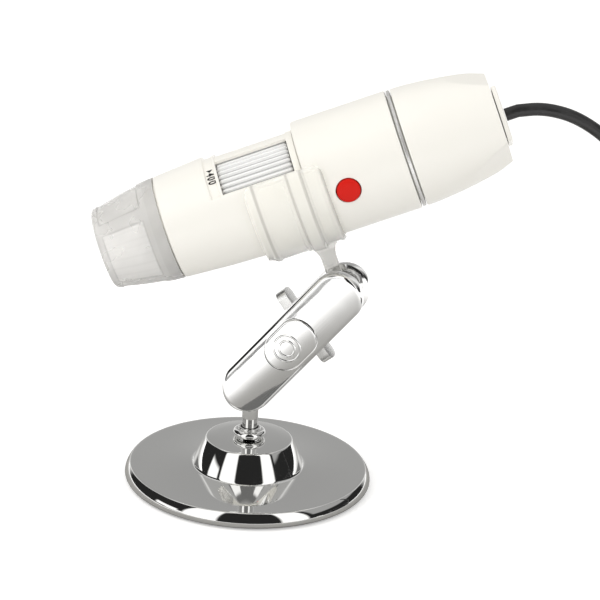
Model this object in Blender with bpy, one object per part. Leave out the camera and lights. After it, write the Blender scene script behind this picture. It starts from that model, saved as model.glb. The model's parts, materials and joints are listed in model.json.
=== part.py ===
"""Handheld digital microscope on a ball-jointed table stand, modelled piece by piece.

All lengths are metres and +Z is up. The origin is the centre of the base's underside.
The base, stem and arm stand in the XZ plane, and the microscope's nose points to -X.
"""

import math

import bmesh
import bpy
from mathutils import Euler, Matrix, Vector

# Fits
GAP = 0.0003
OVERRUN = 0.0010

# Faces round the large, middling and small turned pieces
LARGE_FACES = 32
MIDDLE_FACES = 20
SMALL_FACES = 10

# Base: a hollow chrome disc and dome, a weight in it and a soft pad under it
BASE_RADIUS = 0.0341
BASE_RIM_HEIGHT = 0.0050
BASE_RIM_WIDTH = 0.0051
BASE_WIDEST_HEIGHT = 0.0013
BASE_RIM_UNDERCUT = 0.0011
BASE_RIM_FOOT = 0.0015
BASE_LIFT = 0.0004
BASE_WALL = 0.0012
BASE_CONE_RISE = 0.0004
DOME_RADIUS = 0.0153
DOME_TOP_RADIUS = 0.0117
DOME_HEIGHT = 0.0070
DOME_CROWN = 0.0005
PAD_THICKNESS = 0.0010

# Stem between the base and the lower ball
STEM_RADIUS = 0.0022
STEM_TAIL_RADIUS = 0.0016
STEM_TAIL_END = 0.0020
NUT_WIDTH = 0.0070
NUT_HEIGHT = 0.0028
COLLAR_RADIUS = 0.0050
COLLAR_HEIGHT = 0.0028
COLLAR_FOOT_SHARE = 0.72
BALL_HEIGHT = 0.0293

# Balls at both ends of the arm, each pressed on a peg
BALL_RADIUS = 0.0046
PEG_RADIUS = 0.0015
PEG_DEPTH_PAST_CENTRE = 0.0010

# Arm: two shells clamped over the balls by one screw
ARM_SPACING = 0.0382
ARM_WIDTH = 0.0142
ARM_SEAM = 0.0056
ARM_EDGE = 0.0005
SOCKET_WALL = 0.0013
ARM_ELEVATION = math.radians(51.5)
ARM_RING_ANGLES = [math.radians(degrees) for degrees in (0, 18, 37, 55, 71, 84)]
ARM_POCKET_DEPTH = 0.0017
ARM_POCKET_HALF_WIDTH = 0.0042
CLAMP_BOSS_RADIUS = 0.0044
CLAMP_BOSS_REACH = 0.0016

# Cap over the clamp screw, on the front shell
BOSS_CAP_LENGTH = 0.0162
BOSS_CAP_WIDTH = 0.0110
BOSS_CAP_PROUD = 0.0005
BOSS_CAP_THICKNESS = 0.0014
BOSS_CAP_CROWN = 0.0007

# Clamp screw, washer and wing nut
SCREW_RADIUS = 0.0020
SCREW_HEAD_RADIUS = 0.0035
SCREW_HEAD_HEIGHT = 0.0010
SCREW_PROUD = 0.0008
WASHER_RADIUS = 0.0044
WASHER_THICKNESS = 0.0007
WASHER_SINK = 0.0005
WING_HUB_RADIUS = 0.0037
WING_HUB_HEIGHT = 0.0046
WING_REACH = 0.0117
WING_THICKNESS = 0.0030
WING_DEPTH = 0.0052
WING_ROUND = 0.0018
WING_RISE = 0.0006
WING_TURN = math.radians(12)

# Clear clip that holds the microscope, and its stem
HEAD_LEAN = math.radians(22.3)
HEAD_SWIVEL = math.radians(16.8)
HEAD_HEIGHT = 0.0320
CLIP_WALL = 0.0014
CLIP_FRONT_LENGTH = 0.0127
CLIP_LIP_LENGTH = 0.0023
CLIP_LIP_WALL = 0.0004
CLIP_REAR_LENGTH = 0.0065
CLIP_RIB_FRONT = 0.0028
CLIP_RIB_REAR = 0.0004
CLIP_RIB_HEIGHT = 0.0008
CLIP_EDGE = 0.0009
CLIP_WRAP = math.radians(113)
CLIP_STEM_WIDTH = 0.0042
CLIP_STEM_THICKNESS = 0.0032
CLIP_STEM_ROUND = 0.0008
CLIP_STEM_FLARE = 0.0060
CLIP_STEM_FLARE_LENGTH = 0.0030

# Microscope: places along its axis are counted from the clip's stem
SCOPE_ROLL = math.radians(8.5)
HOUSING_FRONT = 0.0016
HOUSING_RADIUS = 0.0164
HOUSING_LENGTH = 0.0266
HOUSING_WALL = 0.0016
HOUSING_ROUND = 0.0008
BULKHEAD_THICKNESS = 0.0020
SPIGOT_LENGTH = 0.0020
SPIGOT_WALL = 0.0010

# Front barrel with its saddle and two windows over the focus wheel
BARREL_LENGTH = 0.0393
BARREL_STEP = 0.0004
BARREL_REAR_TAPER = 0.0010
BARREL_FRONT_TAPER = 0.0009
SHOULDER_TO_SADDLE = 0.0015
BARREL_WALL = 0.0017
SADDLE_DEPTH = 0.0017
SADDLE_BAND = 0.0032
SADDLE_HALF_ANGLE = math.radians(57)
WINDOW_HALF_ANGLE = math.radians(55)
STRIP_HALF_ANGLE = math.radians(16)
WEB_THICKNESS = 0.0020

# Focus wheel
WHEEL_INSET = 0.0011
WHEEL_LENGTH = 0.0196
WHEEL_RIBS = 54
WHEEL_RIB_HEIGHT = 0.0007
RIB_EDGE_SHARES = (0.10, 0.24, 0.66, 0.80)

# Guide tube, lens carrier and lens
CARRIER_SHARE = 0.538
CARRIER_WALL = 0.0019
GUIDE_WALL = 0.0012
GUIDE_SETBACK = 0.0037
GUIDE_FLANGE = 0.0013
CARRIER_PROUD = 0.0045
CARRIER_REAR = 0.0070
FOCUS_TRAVEL = 0.0040
KEY_FRONT = 0.0110
KEY_LENGTH = 0.0030
KEY_WIDTH = 0.0020
LENS_SEAT_DEPTH = 0.0035
LENS_INSET = 0.0011
LENS_EDGE = 0.0012
LENS_FRONT_SAG = 0.0007
LENS_REAR_SAG = 0.0004
LENS_SHARES = (0.0, 0.45, 0.8, 1.0)
RETAINER_WIDTH = 0.0011
RETAINER_THICKNESS = 0.0011

# Clear hood with finger panels, and the ring of lamps in it
HOOD_LENGTH = 0.0191
HOOD_TAPER = 0.0033
HOOD_WALL = 0.0012
HOOD_ROUND = 0.0010
HOOD_SOCKET = 0.0033
HOOD_PANEL_DEPTH = 0.0004
HOOD_PANEL_HALF_ANGLE = math.radians(37)
HOOD_PANEL_FRONT = 0.0020
HOOD_PANEL_REAR = 0.0046
HOOD_PANEL_ROUND = 0.0025
BARREL_SPIGOT_LENGTH = 0.0033
LED_COUNT = 8
LED_RADIUS = 0.0012
LED_HEIGHT = 0.0022
LED_BOARD_THICKNESS = 0.0012
LED_NOSE_WALL = 0.0012
LED_LEDGE = 0.0015

# Boards, sensor and their screws
BOARD_THICKNESS = 0.0012
SENSOR_BOARD_INSET = 0.0030
SENSOR_WIDTH_SHARE = 1.11
SENSOR_HEIGHT = 0.0012
SENSOR_SCREWS = 3
SENSOR_SCREW_INSET = 0.0026
SENSOR_SCREW_LAND = 0.0018
SENSOR_SCREW_RADIUS = 0.0008
SENSOR_SCREW_HEAD = 0.0016
SENSOR_SCREW_DEPTH = 0.0012
MAIN_BOARD_CLEARANCE = 0.0004

# Snapshot button and the switch under it
BUTTON_PLACE = 0.0115
BUTTON_RADIUS = 0.00315
BUTTON_PROUD = 0.0008
BUTTON_CROWN = 0.0006
BUTTON_FACE_SHARES = (0.0, 0.35, 0.6, 0.8, 0.93, 1.0)
BUTTON_TRAVEL = 0.0008
BUTTON_FLANGE_WIDTH = 0.0011
BUTTON_FLANGE_THICKNESS = 0.0008
BUTTON_NUB_RADIUS = 0.0015
BUTTON_NUB_LENGTH = 0.0005
SWITCH_WIDTH = 0.0060
SWITCH_HEIGHT = 0.0024
PLUNGER_RADIUS = 0.0017
PLUNGER_HEIGHT = 0.0006

# Trim ring, rear cap and end plate
RING_WIDTH = 0.0009
RING_INSET = 0.0002
CAP_INSET = 0.0001
CAP_TAPER = 0.0034
CAP_LENGTH = 0.0252
CAP_CURVE_POWER = 1.7
CAP_LENGTH_SHARES = (0.0, 0.2, 0.38, 0.54, 0.68, 0.8, 0.9, 1.0)
CAP_WALL = 0.0017
CAP_SPIGOT_LENGTH = 0.0037
CAP_SPIGOT_WALL = 0.0013
CAP_TURN = math.radians(-25)
FACET_LENGTH = 0.0109
FACET_END_SHARE = 0.88
FACET_TILT = math.radians(23)
END_PLATE_HALF_HEIGHT = 0.0076
END_PLATE_INSET = 0.0010
END_PLATE_THICKNESS = 0.0013
END_BOSS_RADIUS = 0.0063
END_BOSS_LENGTH = 0.0028

# Cable
CORD_RADIUS = 0.00175
ANCHOR_RADIUS = 0.0042
ANCHOR_LENGTH = 0.0028
COIL_CENTRE = (0.1281, 0.0175)
COIL_OUTER_RADIUS = 0.0239
COIL_PITCH = 0.0040
COIL_LAYERS = 4
COIL_TURNS = 9.25
COIL_LOOP_POINTS = 24
COIL_START_ANGLE = math.radians(104)
COIL_CLIMB_TURNS = 0.5
COIL_CLIMB_DIP = 0.0006
COIL_FLOOR = 0.00005
TIE_ANGLE = math.radians(-92)
TIE_WIDTH = 0.0040
TIE_THICKNESS = 0.0007
TIE_ROUND = 0.0030
TIE_LIFT_HALF_ANGLE = math.radians(42)
TAIL_LENGTH = 0.0180
CORD_STEP = 0.0074
# The way down from the microscope to the coil, by hand, in the object's frame
CORD_ROUTE = [
    (0.07010, 0.01918, 0.11125), (0.07476, 0.02080, 0.11075), (0.07952, 0.02239, 0.10925),
    (0.08426, 0.02407, 0.10655), (0.08841, 0.02562, 0.10315), (0.09237, 0.02712, 0.09815),
    (0.09555, 0.02845, 0.09195), (0.09806, 0.02961, 0.08495), (0.09978, 0.03060, 0.07745),
    (0.10112, 0.03147, 0.06845), (0.10216, 0.03221, 0.05845), (0.10291, 0.03291, 0.04845),
    (0.10335, 0.03353, 0.03945), (0.10381, 0.03408, 0.03145), (0.10504, 0.03472, 0.02325),
    (0.10909, 0.03610, 0.01755), (0.11368, 0.03744, 0.01475),
]

# Plug on the cable's far end
PLUG_NECK_LENGTH = 0.0090
PLUG_NECK_RADIUS = 0.0026
PLUG_NECK_RIBS = 4
PLUG_NECK_RIB_DEPTH = 0.0004
PLUG_RIB_CREST_SHARES = (0.1, 0.6)
PLUG_RIB_FOOT_SHARES = (0.7, 0.94)
PLUG_LENGTH = 0.0200
PLUG_WIDTH = 0.0150
PLUG_HEIGHT = 0.0078
PLUG_ROUND = 0.0022
PLUG_PANEL_DEPTH = 0.0004
PLUG_PANEL_INSET = 0.0020
USB_WIDTH = 0.0120
USB_HEIGHT = 0.0045
USB_LENGTH = 0.0187
USB_WALL = 0.0004
TONGUE_HEIGHT = 0.0016
TONGUE_SETBACK = 0.0010

# Places along the microscope's axis, each one worked out from its neighbour
BARREL_REAR = HOUSING_FRONT - GAP
BARREL_FRONT = BARREL_REAR - BARREL_LENGTH
HOOD_REAR = BARREL_FRONT
SHOULDER_FRONT = BARREL_FRONT + GAP
HOOD_FRONT = HOOD_REAR - HOOD_LENGTH
SPIGOT_FRONT = HOUSING_FRONT - SPIGOT_LENGTH
WHEEL_REAR = SPIGOT_FRONT - GAP
WHEEL_FRONT = WHEEL_REAR - WHEEL_LENGTH
WEB_REAR = WHEEL_FRONT - GAP
WEB_FRONT = WEB_REAR - WEB_THICKNESS
SADDLE_FRONT = WHEEL_FRONT - SADDLE_BAND
BARREL_SHOULDER = SADDLE_FRONT - SHOULDER_TO_SADDLE
HOUSING_REAR = HOUSING_FRONT + HOUSING_LENGTH
RING_FRONT = HOUSING_REAR + GAP
CAP_FRONT = RING_FRONT + RING_WIDTH + GAP
CAP_END = CAP_FRONT + CAP_LENGTH
PLATE_FRONT = CAP_END + GAP
PLATE_END = PLATE_FRONT + END_PLATE_THICKNESS
CORD_EXIT = PLATE_END + GAP
CAP_SPIGOT_FRONT = CAP_FRONT - CAP_SPIGOT_LENGTH - RING_WIDTH
BULKHEAD_BACK = HOUSING_FRONT + BULKHEAD_THICKNESS
SENSOR_BOARD_FRONT = BULKHEAD_BACK + GAP
SENSOR_BOARD_BACK = SENSOR_BOARD_FRONT + BOARD_THICKNESS
BARREL_NOSE = SHOULDER_FRONT - BARREL_SPIGOT_LENGTH
LEDGE_FRONT = BARREL_NOSE + LED_BOARD_THICKNESS + 2 * GAP
LEDGE_BACK = LEDGE_FRONT + LED_LEDGE
GUIDE_FRONT = LEDGE_BACK + GUIDE_SETBACK
CARRIER_FRONT = BARREL_NOSE - CARRIER_PROUD
LENS_SEAT = CARRIER_FRONT + LENS_SEAT_DEPTH

# Radii that follow from the fits
HOUSING_BORE = HOUSING_RADIUS - HOUSING_WALL
CLIP_BORE = HOUSING_RADIUS + GAP
BARREL_REAR_RADIUS = HOUSING_RADIUS - BARREL_STEP
BARREL_SHOULDER_RADIUS = BARREL_REAR_RADIUS - BARREL_REAR_TAPER
BARREL_FRONT_RADIUS = BARREL_SHOULDER_RADIUS - BARREL_FRONT_TAPER
SADDLE_RADIUS = BARREL_REAR_RADIUS - SADDLE_DEPTH
WHEEL_RADIUS = SADDLE_RADIUS - WHEEL_INSET
WHEEL_BORE_IN_BARREL = WHEEL_RADIUS + GAP
CARRIER_RADIUS = WHEEL_RADIUS * CARRIER_SHARE
LENS_RADIUS = CARRIER_RADIUS - LENS_INSET
GUIDE_BORE = CARRIER_RADIUS + GAP
GUIDE_RADIUS = GUIDE_BORE + GUIDE_WALL
WHEEL_BORE = GUIDE_RADIUS + GAP
HOOD_FRONT_RADIUS = BARREL_FRONT_RADIUS - HOOD_TAPER
HOOD_SOCKET_RADIUS = BARREL_FRONT_RADIUS - HOOD_WALL
BARREL_SPIGOT_RADIUS = HOOD_SOCKET_RADIUS - GAP
LED_RECESS = BARREL_SPIGOT_RADIUS - LED_NOSE_WALL
LED_BOARD_RADIUS = LED_RECESS - GAP
SENSOR_BOARD_RADIUS = HOUSING_BORE - SENSOR_BOARD_INSET
SENSOR_SCREW_CIRCLE = SENSOR_BOARD_RADIUS - SENSOR_SCREW_INSET
BULKHEAD_OPENING = SENSOR_SCREW_CIRCLE - SENSOR_SCREW_RADIUS - GAP - SENSOR_SCREW_LAND
CAP_FRONT_RADIUS = HOUSING_RADIUS - CAP_INSET
CAP_END_RADIUS = CAP_FRONT_RADIUS - CAP_TAPER
BALL_BORE = PEG_RADIUS + GAP
SHOULDER_FROM_BALL = math.sqrt(BALL_RADIUS**2 - BALL_BORE**2) + GAP
SOCKET_RADIUS = BALL_RADIUS + GAP
ARM_CROWN = SOCKET_RADIUS + SOCKET_WALL
DISC_TOP = BASE_RIM_HEIGHT + BASE_CONE_RISE
BASE_TOP = DISC_TOP + DOME_HEIGHT + DOME_CROWN
BASE_CAVITY_RADIUS = BASE_RADIUS - BASE_RIM_UNDERCUT - BASE_RIM_FOOT

CHROME = ("chrome", (0.78, 0.78, 0.77), 0.08, 1.0)
STEEL = ("steel", (0.62, 0.62, 0.63), 0.30, 1.0)
IRON = ("cast_weight", (0.20, 0.20, 0.21), 0.60, 0.8)
SATIN = ("satin_nut", (0.72, 0.72, 0.71), 0.28, 0.6)
CREAM = ("cream_shell", (0.90, 0.88, 0.83), 0.28, 0.0)
CLEAR = ("clear_plastic", (0.88, 0.87, 0.82), 0.12, 0.0)
SILVER = ("silver_plastic", (0.74, 0.75, 0.76), 0.25, 0.3)
RED = ("red_button", (0.68, 0.04, 0.02), 0.30, 0.0)
BLACK = ("black_cord", (0.018, 0.017, 0.018), 0.45, 0.0)
FOAM = ("pad_foam", (0.03, 0.03, 0.03), 0.90, 0.0)
BOARD = ("green_board", (0.02, 0.16, 0.07), 0.50, 0.0)
CHIP = ("dark_chip", (0.03, 0.03, 0.035), 0.35, 0.0)
LAMP = ("lamp", (0.92, 0.90, 0.75), 0.15, 0.0)
LENS = ("lens_glass", (0.80, 0.88, 0.95), 0.03, 0.0)
DARK = ("dark_plastic", (0.05, 0.05, 0.055), 0.50, 0.0)
TIE = ("tie_strip", (0.05, 0.05, 0.05), 0.55, 0.0)


def clear_scene():
    for obj in list(bpy.data.objects):
        bpy.data.objects.remove(obj, do_unlink=True)


def material(finish):
    name, colour, roughness, metallic = finish
    if name in bpy.data.materials:
        return bpy.data.materials[name]
    made = bpy.data.materials.new(name)
    made.use_nodes = True
    shader = made.node_tree.nodes["Principled BSDF"]
    shader.inputs["Base Color"].default_value = (*colour, 1.0)
    shader.inputs["Roughness"].default_value = roughness
    shader.inputs["Metallic"].default_value = metallic
    return made


def frame(name, parent=None, at=(0, 0, 0), turn=(0, 0, 0)):
    """An empty that carries pieces; turn is its rotation about X, Y and Z."""
    empty = bpy.data.objects.new(name, None)
    bpy.context.scene.collection.objects.link(empty)
    empty.parent = parent
    empty.location = at
    empty.rotation_euler = Euler(turn)
    return empty


def piece(name, solid, finish, parent=None):
    """Turns a bmesh into a named object on its frame."""
    bmesh.ops.recalc_face_normals(solid, faces=solid.faces)
    mesh = bpy.data.meshes.new(name)
    solid.to_mesh(mesh)
    solid.free()
    mesh.shade_smooth()
    mesh.set_sharp_from_angle(angle=math.radians(34))
    obj = bpy.data.objects.new(name, mesh)
    bpy.context.scene.collection.objects.link(obj)
    obj.parent = parent
    mesh.materials.append(material(finish))
    return obj


def combine(target, solid, operation):
    """Cuts a helper solid out of the target, or joins it on, with a Boolean."""
    name = f"{target.name}_{operation.lower()}_{len(target.modifiers)}"
    helper = piece(name, solid, STEEL, target.parent)
    helper.location = target.location
    helper.hide_render = True
    helper.display_type = "WIRE"
    modifier = target.modifiers.new(name, "BOOLEAN")
    modifier.operation = operation
    modifier.solver = "EXACT"
    modifier.object = helper


def cut(target, solid):
    combine(target, solid, "DIFFERENCE")


def join(target, solid):
    combine(target, solid, "UNION")


def about_z(axial, radius, angle):
    return radius * math.cos(angle), radius * math.sin(angle), axial


def about_y(axial, radius, angle):
    return radius * math.sin(angle), axial, radius * math.cos(angle)


def about_x(axial, radius, angle):
    """Angles count from the microscope's top towards its button side."""
    return axial, -radius * math.sin(angle), radius * math.cos(angle)


def turned(profile, segments, place, open_ended=True):
    """A turned solid from (axial, radius) points.

    A profile that is open_ended goes round a bore and closes on itself. Any other ends on
    the axis, at a point of radius 0, or in a flat face where its last radius isn't 0.
    """
    solid = bmesh.new()
    rings = []
    for axial, radius in profile:
        count = segments if radius > 0 else 1
        angles = [math.tau * k / segments for k in range(count)]
        rings.append([solid.verts.new(place(axial, radius, angle)) for angle in angles])
    following = rings[1:] + (rings[:1] if open_ended else [])
    for ring in (rings[0], rings[-1]):
        if len(ring) > 1 and not open_ended:
            solid.faces.new(ring)
    for ring, other in zip(rings, following):
        for k in range(segments):
            corners = [
                ring[k % len(ring)],
                ring[(k + 1) % len(ring)],
                other[(k + 1) % len(other)],
                other[k % len(other)],
            ]
            solid.faces.new(list(dict.fromkeys(corners)))
    return solid


def turned_solid(profile, segments, place):
    """A turned solid without a bore."""
    return turned(profile, segments, place, open_ended=False)


def skinned(loops):
    """A closed solid through loops of equally many points, with a cap at each end."""
    solid = bmesh.new()
    rings = [[solid.verts.new(point) for point in loop] for loop in loops]
    for ring, other in zip(rings, rings[1:]):
        for k in range(len(ring)):
            nxt = (k + 1) % len(ring)
            solid.faces.new([ring[k], ring[nxt], other[nxt], other[k]])
    solid.faces.new(rings[0])
    solid.faces.new(rings[-1])
    return solid


def box(low, high):
    (x0, y0, z0), (x1, y1, z1) = low, high
    corners = ((x0, y0), (x1, y0), (x1, y1), (x0, y1))
    return skinned([[(x, y, z) for x, y in corners] for z in (z0, z1)])


def moved(solid, matrix):
    bmesh.ops.transform(solid, matrix=matrix, verts=solid.verts)
    return solid


def arc(centre, radii, start, end, steps):
    """Points (axial, radius) on an ellipse's arc; at angle 0 the radius is largest."""
    points = []
    for k in range(steps + 1):
        angle = start + (end - start) * k / steps
        points.append((centre[0] + radii[0] * math.sin(angle), centre[1] + radii[1] * math.cos(angle)))
    return points


def stadium(spacing, half_width, steps):
    """An outline (x, z) round two centres at x = 0 and x = spacing."""
    points = []
    for centre, start in ((spacing, -math.pi / 2), (0, math.pi / 2)):
        for k in range(steps + 1):
            angle = start + math.pi * k / steps
            points.append((centre + half_width * math.cos(angle), half_width * math.sin(angle)))
    return points


def rounded_rectangle(width, height, corner, steps):
    """An outline centred on zero, anticlockwise."""
    points = []
    across, up = width / 2 - corner, height / 2 - corner
    for quarter, (sx, sy) in enumerate(((1, 1), (-1, 1), (-1, -1), (1, -1))):
        for k in range(steps + 1):
            angle = math.pi / 2 * (quarter + k / steps)
            points.append((sx * across + corner * math.cos(angle), sy * up + corner * math.sin(angle)))
    return points


def wrapped(start, end, low, high, inner, outer, corner=0.0, steps=8):
    """A patch bent round the microscope's axis, between two angles and two axial places.

    inner(t) and outer(t) give its radii. Its corners are rounded by corner.
    """
    loops = []
    middle = outer((low + high) / 2)
    for k in range(steps + 1):
        share = (1 - math.cos(math.pi * k / steps)) / 2
        angle = start + (end - start) * share
        edge = min(share, 1 - share) * abs(end - start) * middle
        inset = 0.0
        if edge < corner:
            inset = corner - math.sqrt(corner**2 - (corner - edge) ** 2)
        ends = (low + inset, high - inset)
        loop = [about_x(t, inner(t), angle) for t in ends]
        loop += [about_x(t, outer(t), angle) for t in reversed(ends)]
        loops.append(loop)
    return skinned(loops)


# Base

def base_surface(inset):
    """The base's upper surface from its rim to its crown, sunk by inset, as (height, radius)."""
    rim = arc(
        (BASE_WIDEST_HEIGHT, BASE_RADIUS - BASE_RIM_WIDTH),
        (BASE_RIM_HEIGHT - BASE_WIDEST_HEIGHT - inset, BASE_RIM_WIDTH - inset),
        0,
        math.pi / 2,
        5,
    )
    dome = arc(
        (DISC_TOP - inset, DOME_TOP_RADIUS - inset),
        (DOME_HEIGHT, DOME_RADIUS - DOME_TOP_RADIUS),
        0,
        math.pi / 2,
        4,
    )
    return rim, dome


def base_profile():
    foot_radius = BASE_RADIUS - BASE_RIM_UNDERCUT
    hole = STEM_TAIL_RADIUS + GAP
    under = arc(
        (BASE_WIDEST_HEIGHT, foot_radius),
        (BASE_WIDEST_HEIGHT - BASE_LIFT, BASE_RIM_UNDERCUT),
        -math.pi / 2,
        0,
        2,
    )
    rim, dome = base_surface(0)
    inner_rim, inner_dome = base_surface(BASE_WALL)
    ceiling = [point for point in inner_rim if point[1] < BASE_CAVITY_RADIUS]
    inside = [(BASE_LIFT, BASE_CAVITY_RADIUS), (ceiling[0][0], BASE_CAVITY_RADIUS)]
    inside += ceiling[1:] + inner_dome[::2] + [(BASE_TOP - BASE_WALL, hole)]
    return under[:-1] + rim + dome + [(BASE_TOP, hole)] + inside[::-1]


def make_base():
    piece("base_shell", turned(base_profile(), LARGE_FACES, about_z), CHROME)
    hole = STEM_TAIL_RADIUS + GAP
    pad_radius = BASE_CAVITY_RADIUS - GAP
    pad = [(0, pad_radius), (PAD_THICKNESS, pad_radius)]
    piece("base_pad", turned_solid(pad, LARGE_FACES, about_z), FOAM)

    floor = PAD_THICKNESS + GAP
    rim, dome = base_surface(BASE_WALL + GAP)
    roof = [point for point in rim if point[1] < pad_radius]
    top = BASE_TOP - BASE_WALL - GAP
    pocket = NUT_WIDTH / math.sqrt(3) + GAP
    pocket_top = STEM_TAIL_END + NUT_HEIGHT + GAP
    weight = [(floor, pocket), (floor, pad_radius), (roof[0][0], pad_radius)] + roof[1:] + dome[::2]
    weight += [(top, hole), (pocket_top, hole), (pocket_top, pocket)]
    piece("base_weight", turned(weight, MIDDLE_FACES, about_z), IRON)

    nut_hole = STEM_TAIL_RADIUS + GAP
    corner = NUT_WIDTH / math.sqrt(3)
    nut_top = STEM_TAIL_END + NUT_HEIGHT
    nut = [(STEM_TAIL_END, nut_hole), (STEM_TAIL_END, corner), (nut_top, corner), (nut_top, nut_hole)]
    piece("base_nut", turned(nut, 6, about_z), STEEL)


def make_stem():
    """The stem hangs its tail through the base and carries the lower ball on a peg."""
    seat = BASE_TOP + GAP
    shoulder = BALL_HEIGHT - SHOULDER_FROM_BALL
    peg_end = BALL_HEIGHT + PEG_DEPTH_PAST_CENTRE
    tail = STEM_TAIL_END - GAP
    bevel = PEG_RADIUS / 4
    stem = [
        (tail, STEM_TAIL_RADIUS),
        (seat, STEM_TAIL_RADIUS),
        (seat, STEM_RADIUS),
        (shoulder - bevel, STEM_RADIUS),
        (shoulder, STEM_RADIUS - bevel),
        (shoulder, PEG_RADIUS),
        (peg_end, PEG_RADIUS),
    ]
    piece("stand_stem", turned_solid(stem, MIDDLE_FACES, about_z), CHROME)

    foot = COLLAR_RADIUS * COLLAR_FOOT_SHARE
    bore = STEM_RADIUS + GAP
    middle = seat + COLLAR_HEIGHT / 2
    bulge = arc((middle, foot), (COLLAR_HEIGHT / 2, COLLAR_RADIUS - foot), -math.pi / 2, math.pi / 2, 6)
    collar = [(seat, bore)] + bulge + [(seat + COLLAR_HEIGHT, bore)]
    piece("stem_collar", turned(collar, MIDDLE_FACES, about_z), CHROME)


def ball(name, parent, facing):
    """A ball with a bore for its peg, open towards facing, +1 or -1 along its frame's Z."""
    steps = 10
    profile = []
    for k in range(steps + 1):
        angle = math.pi * k / steps
        radius = BALL_RADIUS * math.sin(angle) if 0 < k < steps else 0
        profile.append((-BALL_RADIUS * math.cos(angle), radius))
    made = piece(name, turned_solid(profile, MIDDLE_FACES, about_z), CHROME, parent)
    depth = -facing * (PEG_DEPTH_PAST_CENTRE + GAP)
    mouth = facing * (BALL_RADIUS + OVERRUN)
    bore = [(depth, BALL_BORE), (mouth, BALL_BORE)]
    cut(made, turned_solid(bore, SMALL_FACES, about_z))


# Arm

def arm_shell(name, side, arm_frame):
    """One half of the arm; side is -1 for the front shell and +1 for the rear one."""
    seam = ARM_SEAM / 2
    rise = ARM_CROWN - seam - ARM_EDGE
    outline = stadium(ARM_SPACING, ARM_WIDTH / 2, 10)
    loops = [[(x, side * seam, z) for x, z in outline]]
    for angle in ARM_RING_ANGLES:
        height = side * (seam + ARM_EDGE + rise * math.sin(angle))
        ring = stadium(ARM_SPACING, ARM_WIDTH / 2 * math.cos(angle), 10)
        loops.append([(x, height, z) for x, z in ring])
    shell = piece(name, skinned(loops), CHROME, arm_frame)

    middle = ARM_SPACING / 2
    start = side * (seam - CLAMP_BOSS_REACH)
    boss = [(start, CLAMP_BOSS_RADIUS), (side * (seam + 2 * ARM_EDGE), CLAMP_BOSS_RADIUS)]
    join(shell, moved(turned_solid(boss, MIDDLE_FACES, about_y), Matrix.Translation((middle, 0, 0))))

    for centre in (0, ARM_SPACING):
        socket = bmesh.new()
        bmesh.ops.create_uvsphere(socket, u_segments=20, v_segments=10, radius=SOCKET_RADIUS)
        cut(shell, moved(socket, Matrix.Translation((centre, 0, 0))))
    pocket_length = middle - CLAMP_BOSS_RADIUS - SOCKET_RADIUS - 2 * SOCKET_WALL
    pocket_centre = (SOCKET_RADIUS + middle - CLAMP_BOSS_RADIUS) / 2
    for centre in (pocket_centre, ARM_SPACING - pocket_centre):
        hollow = rounded_rectangle(pocket_length, 2 * ARM_POCKET_HALF_WIDTH, ARM_POCKET_DEPTH / 2, 3)
        levels = (side * (seam - OVERRUN / 2), side * (seam + ARM_POCKET_DEPTH))
        cut(shell, skinned([[(centre + x, y, z) for x, z in hollow] for y in levels]))
    hole_radius = SCREW_RADIUS + GAP
    reach = ARM_CROWN + OVERRUN
    hole = [(-reach, hole_radius), (reach, hole_radius)]
    cut(shell, moved(turned_solid(hole, SMALL_FACES, about_y), Matrix.Translation((middle, 0, 0))))
    return shell


def cap_outline(clearance):
    """The boss cap's outline round the clamp screw, in the arm's frame."""
    spacing = BOSS_CAP_LENGTH - BOSS_CAP_WIDTH
    start = (ARM_SPACING - spacing) / 2
    return [(start + x, z) for x, z in stadium(spacing, BOSS_CAP_WIDTH / 2 + clearance, 10)]


def make_boss_cap(arm_frame):
    top = ARM_CROWN + BOSS_CAP_PROUD
    edge = top - BOSS_CAP_CROWN
    bottom = top - BOSS_CAP_THICKNESS
    spacing = BOSS_CAP_LENGTH - BOSS_CAP_WIDTH
    start = (ARM_SPACING - spacing) / 2
    loops = [[(x, -bottom, z) for x, z in cap_outline(0)]]
    for angle in (0, math.pi / 6, math.pi / 3, math.pi * 4 / 9):
        ring = stadium(spacing, BOSS_CAP_WIDTH / 2 * math.cos(angle), 10)
        height = edge + BOSS_CAP_CROWN * math.sin(angle)
        loops.append([(start + x, -height, z) for x, z in ring])
    piece("arm_boss_cap", skinned(loops), CHROME, arm_frame)
    return bottom


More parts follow.
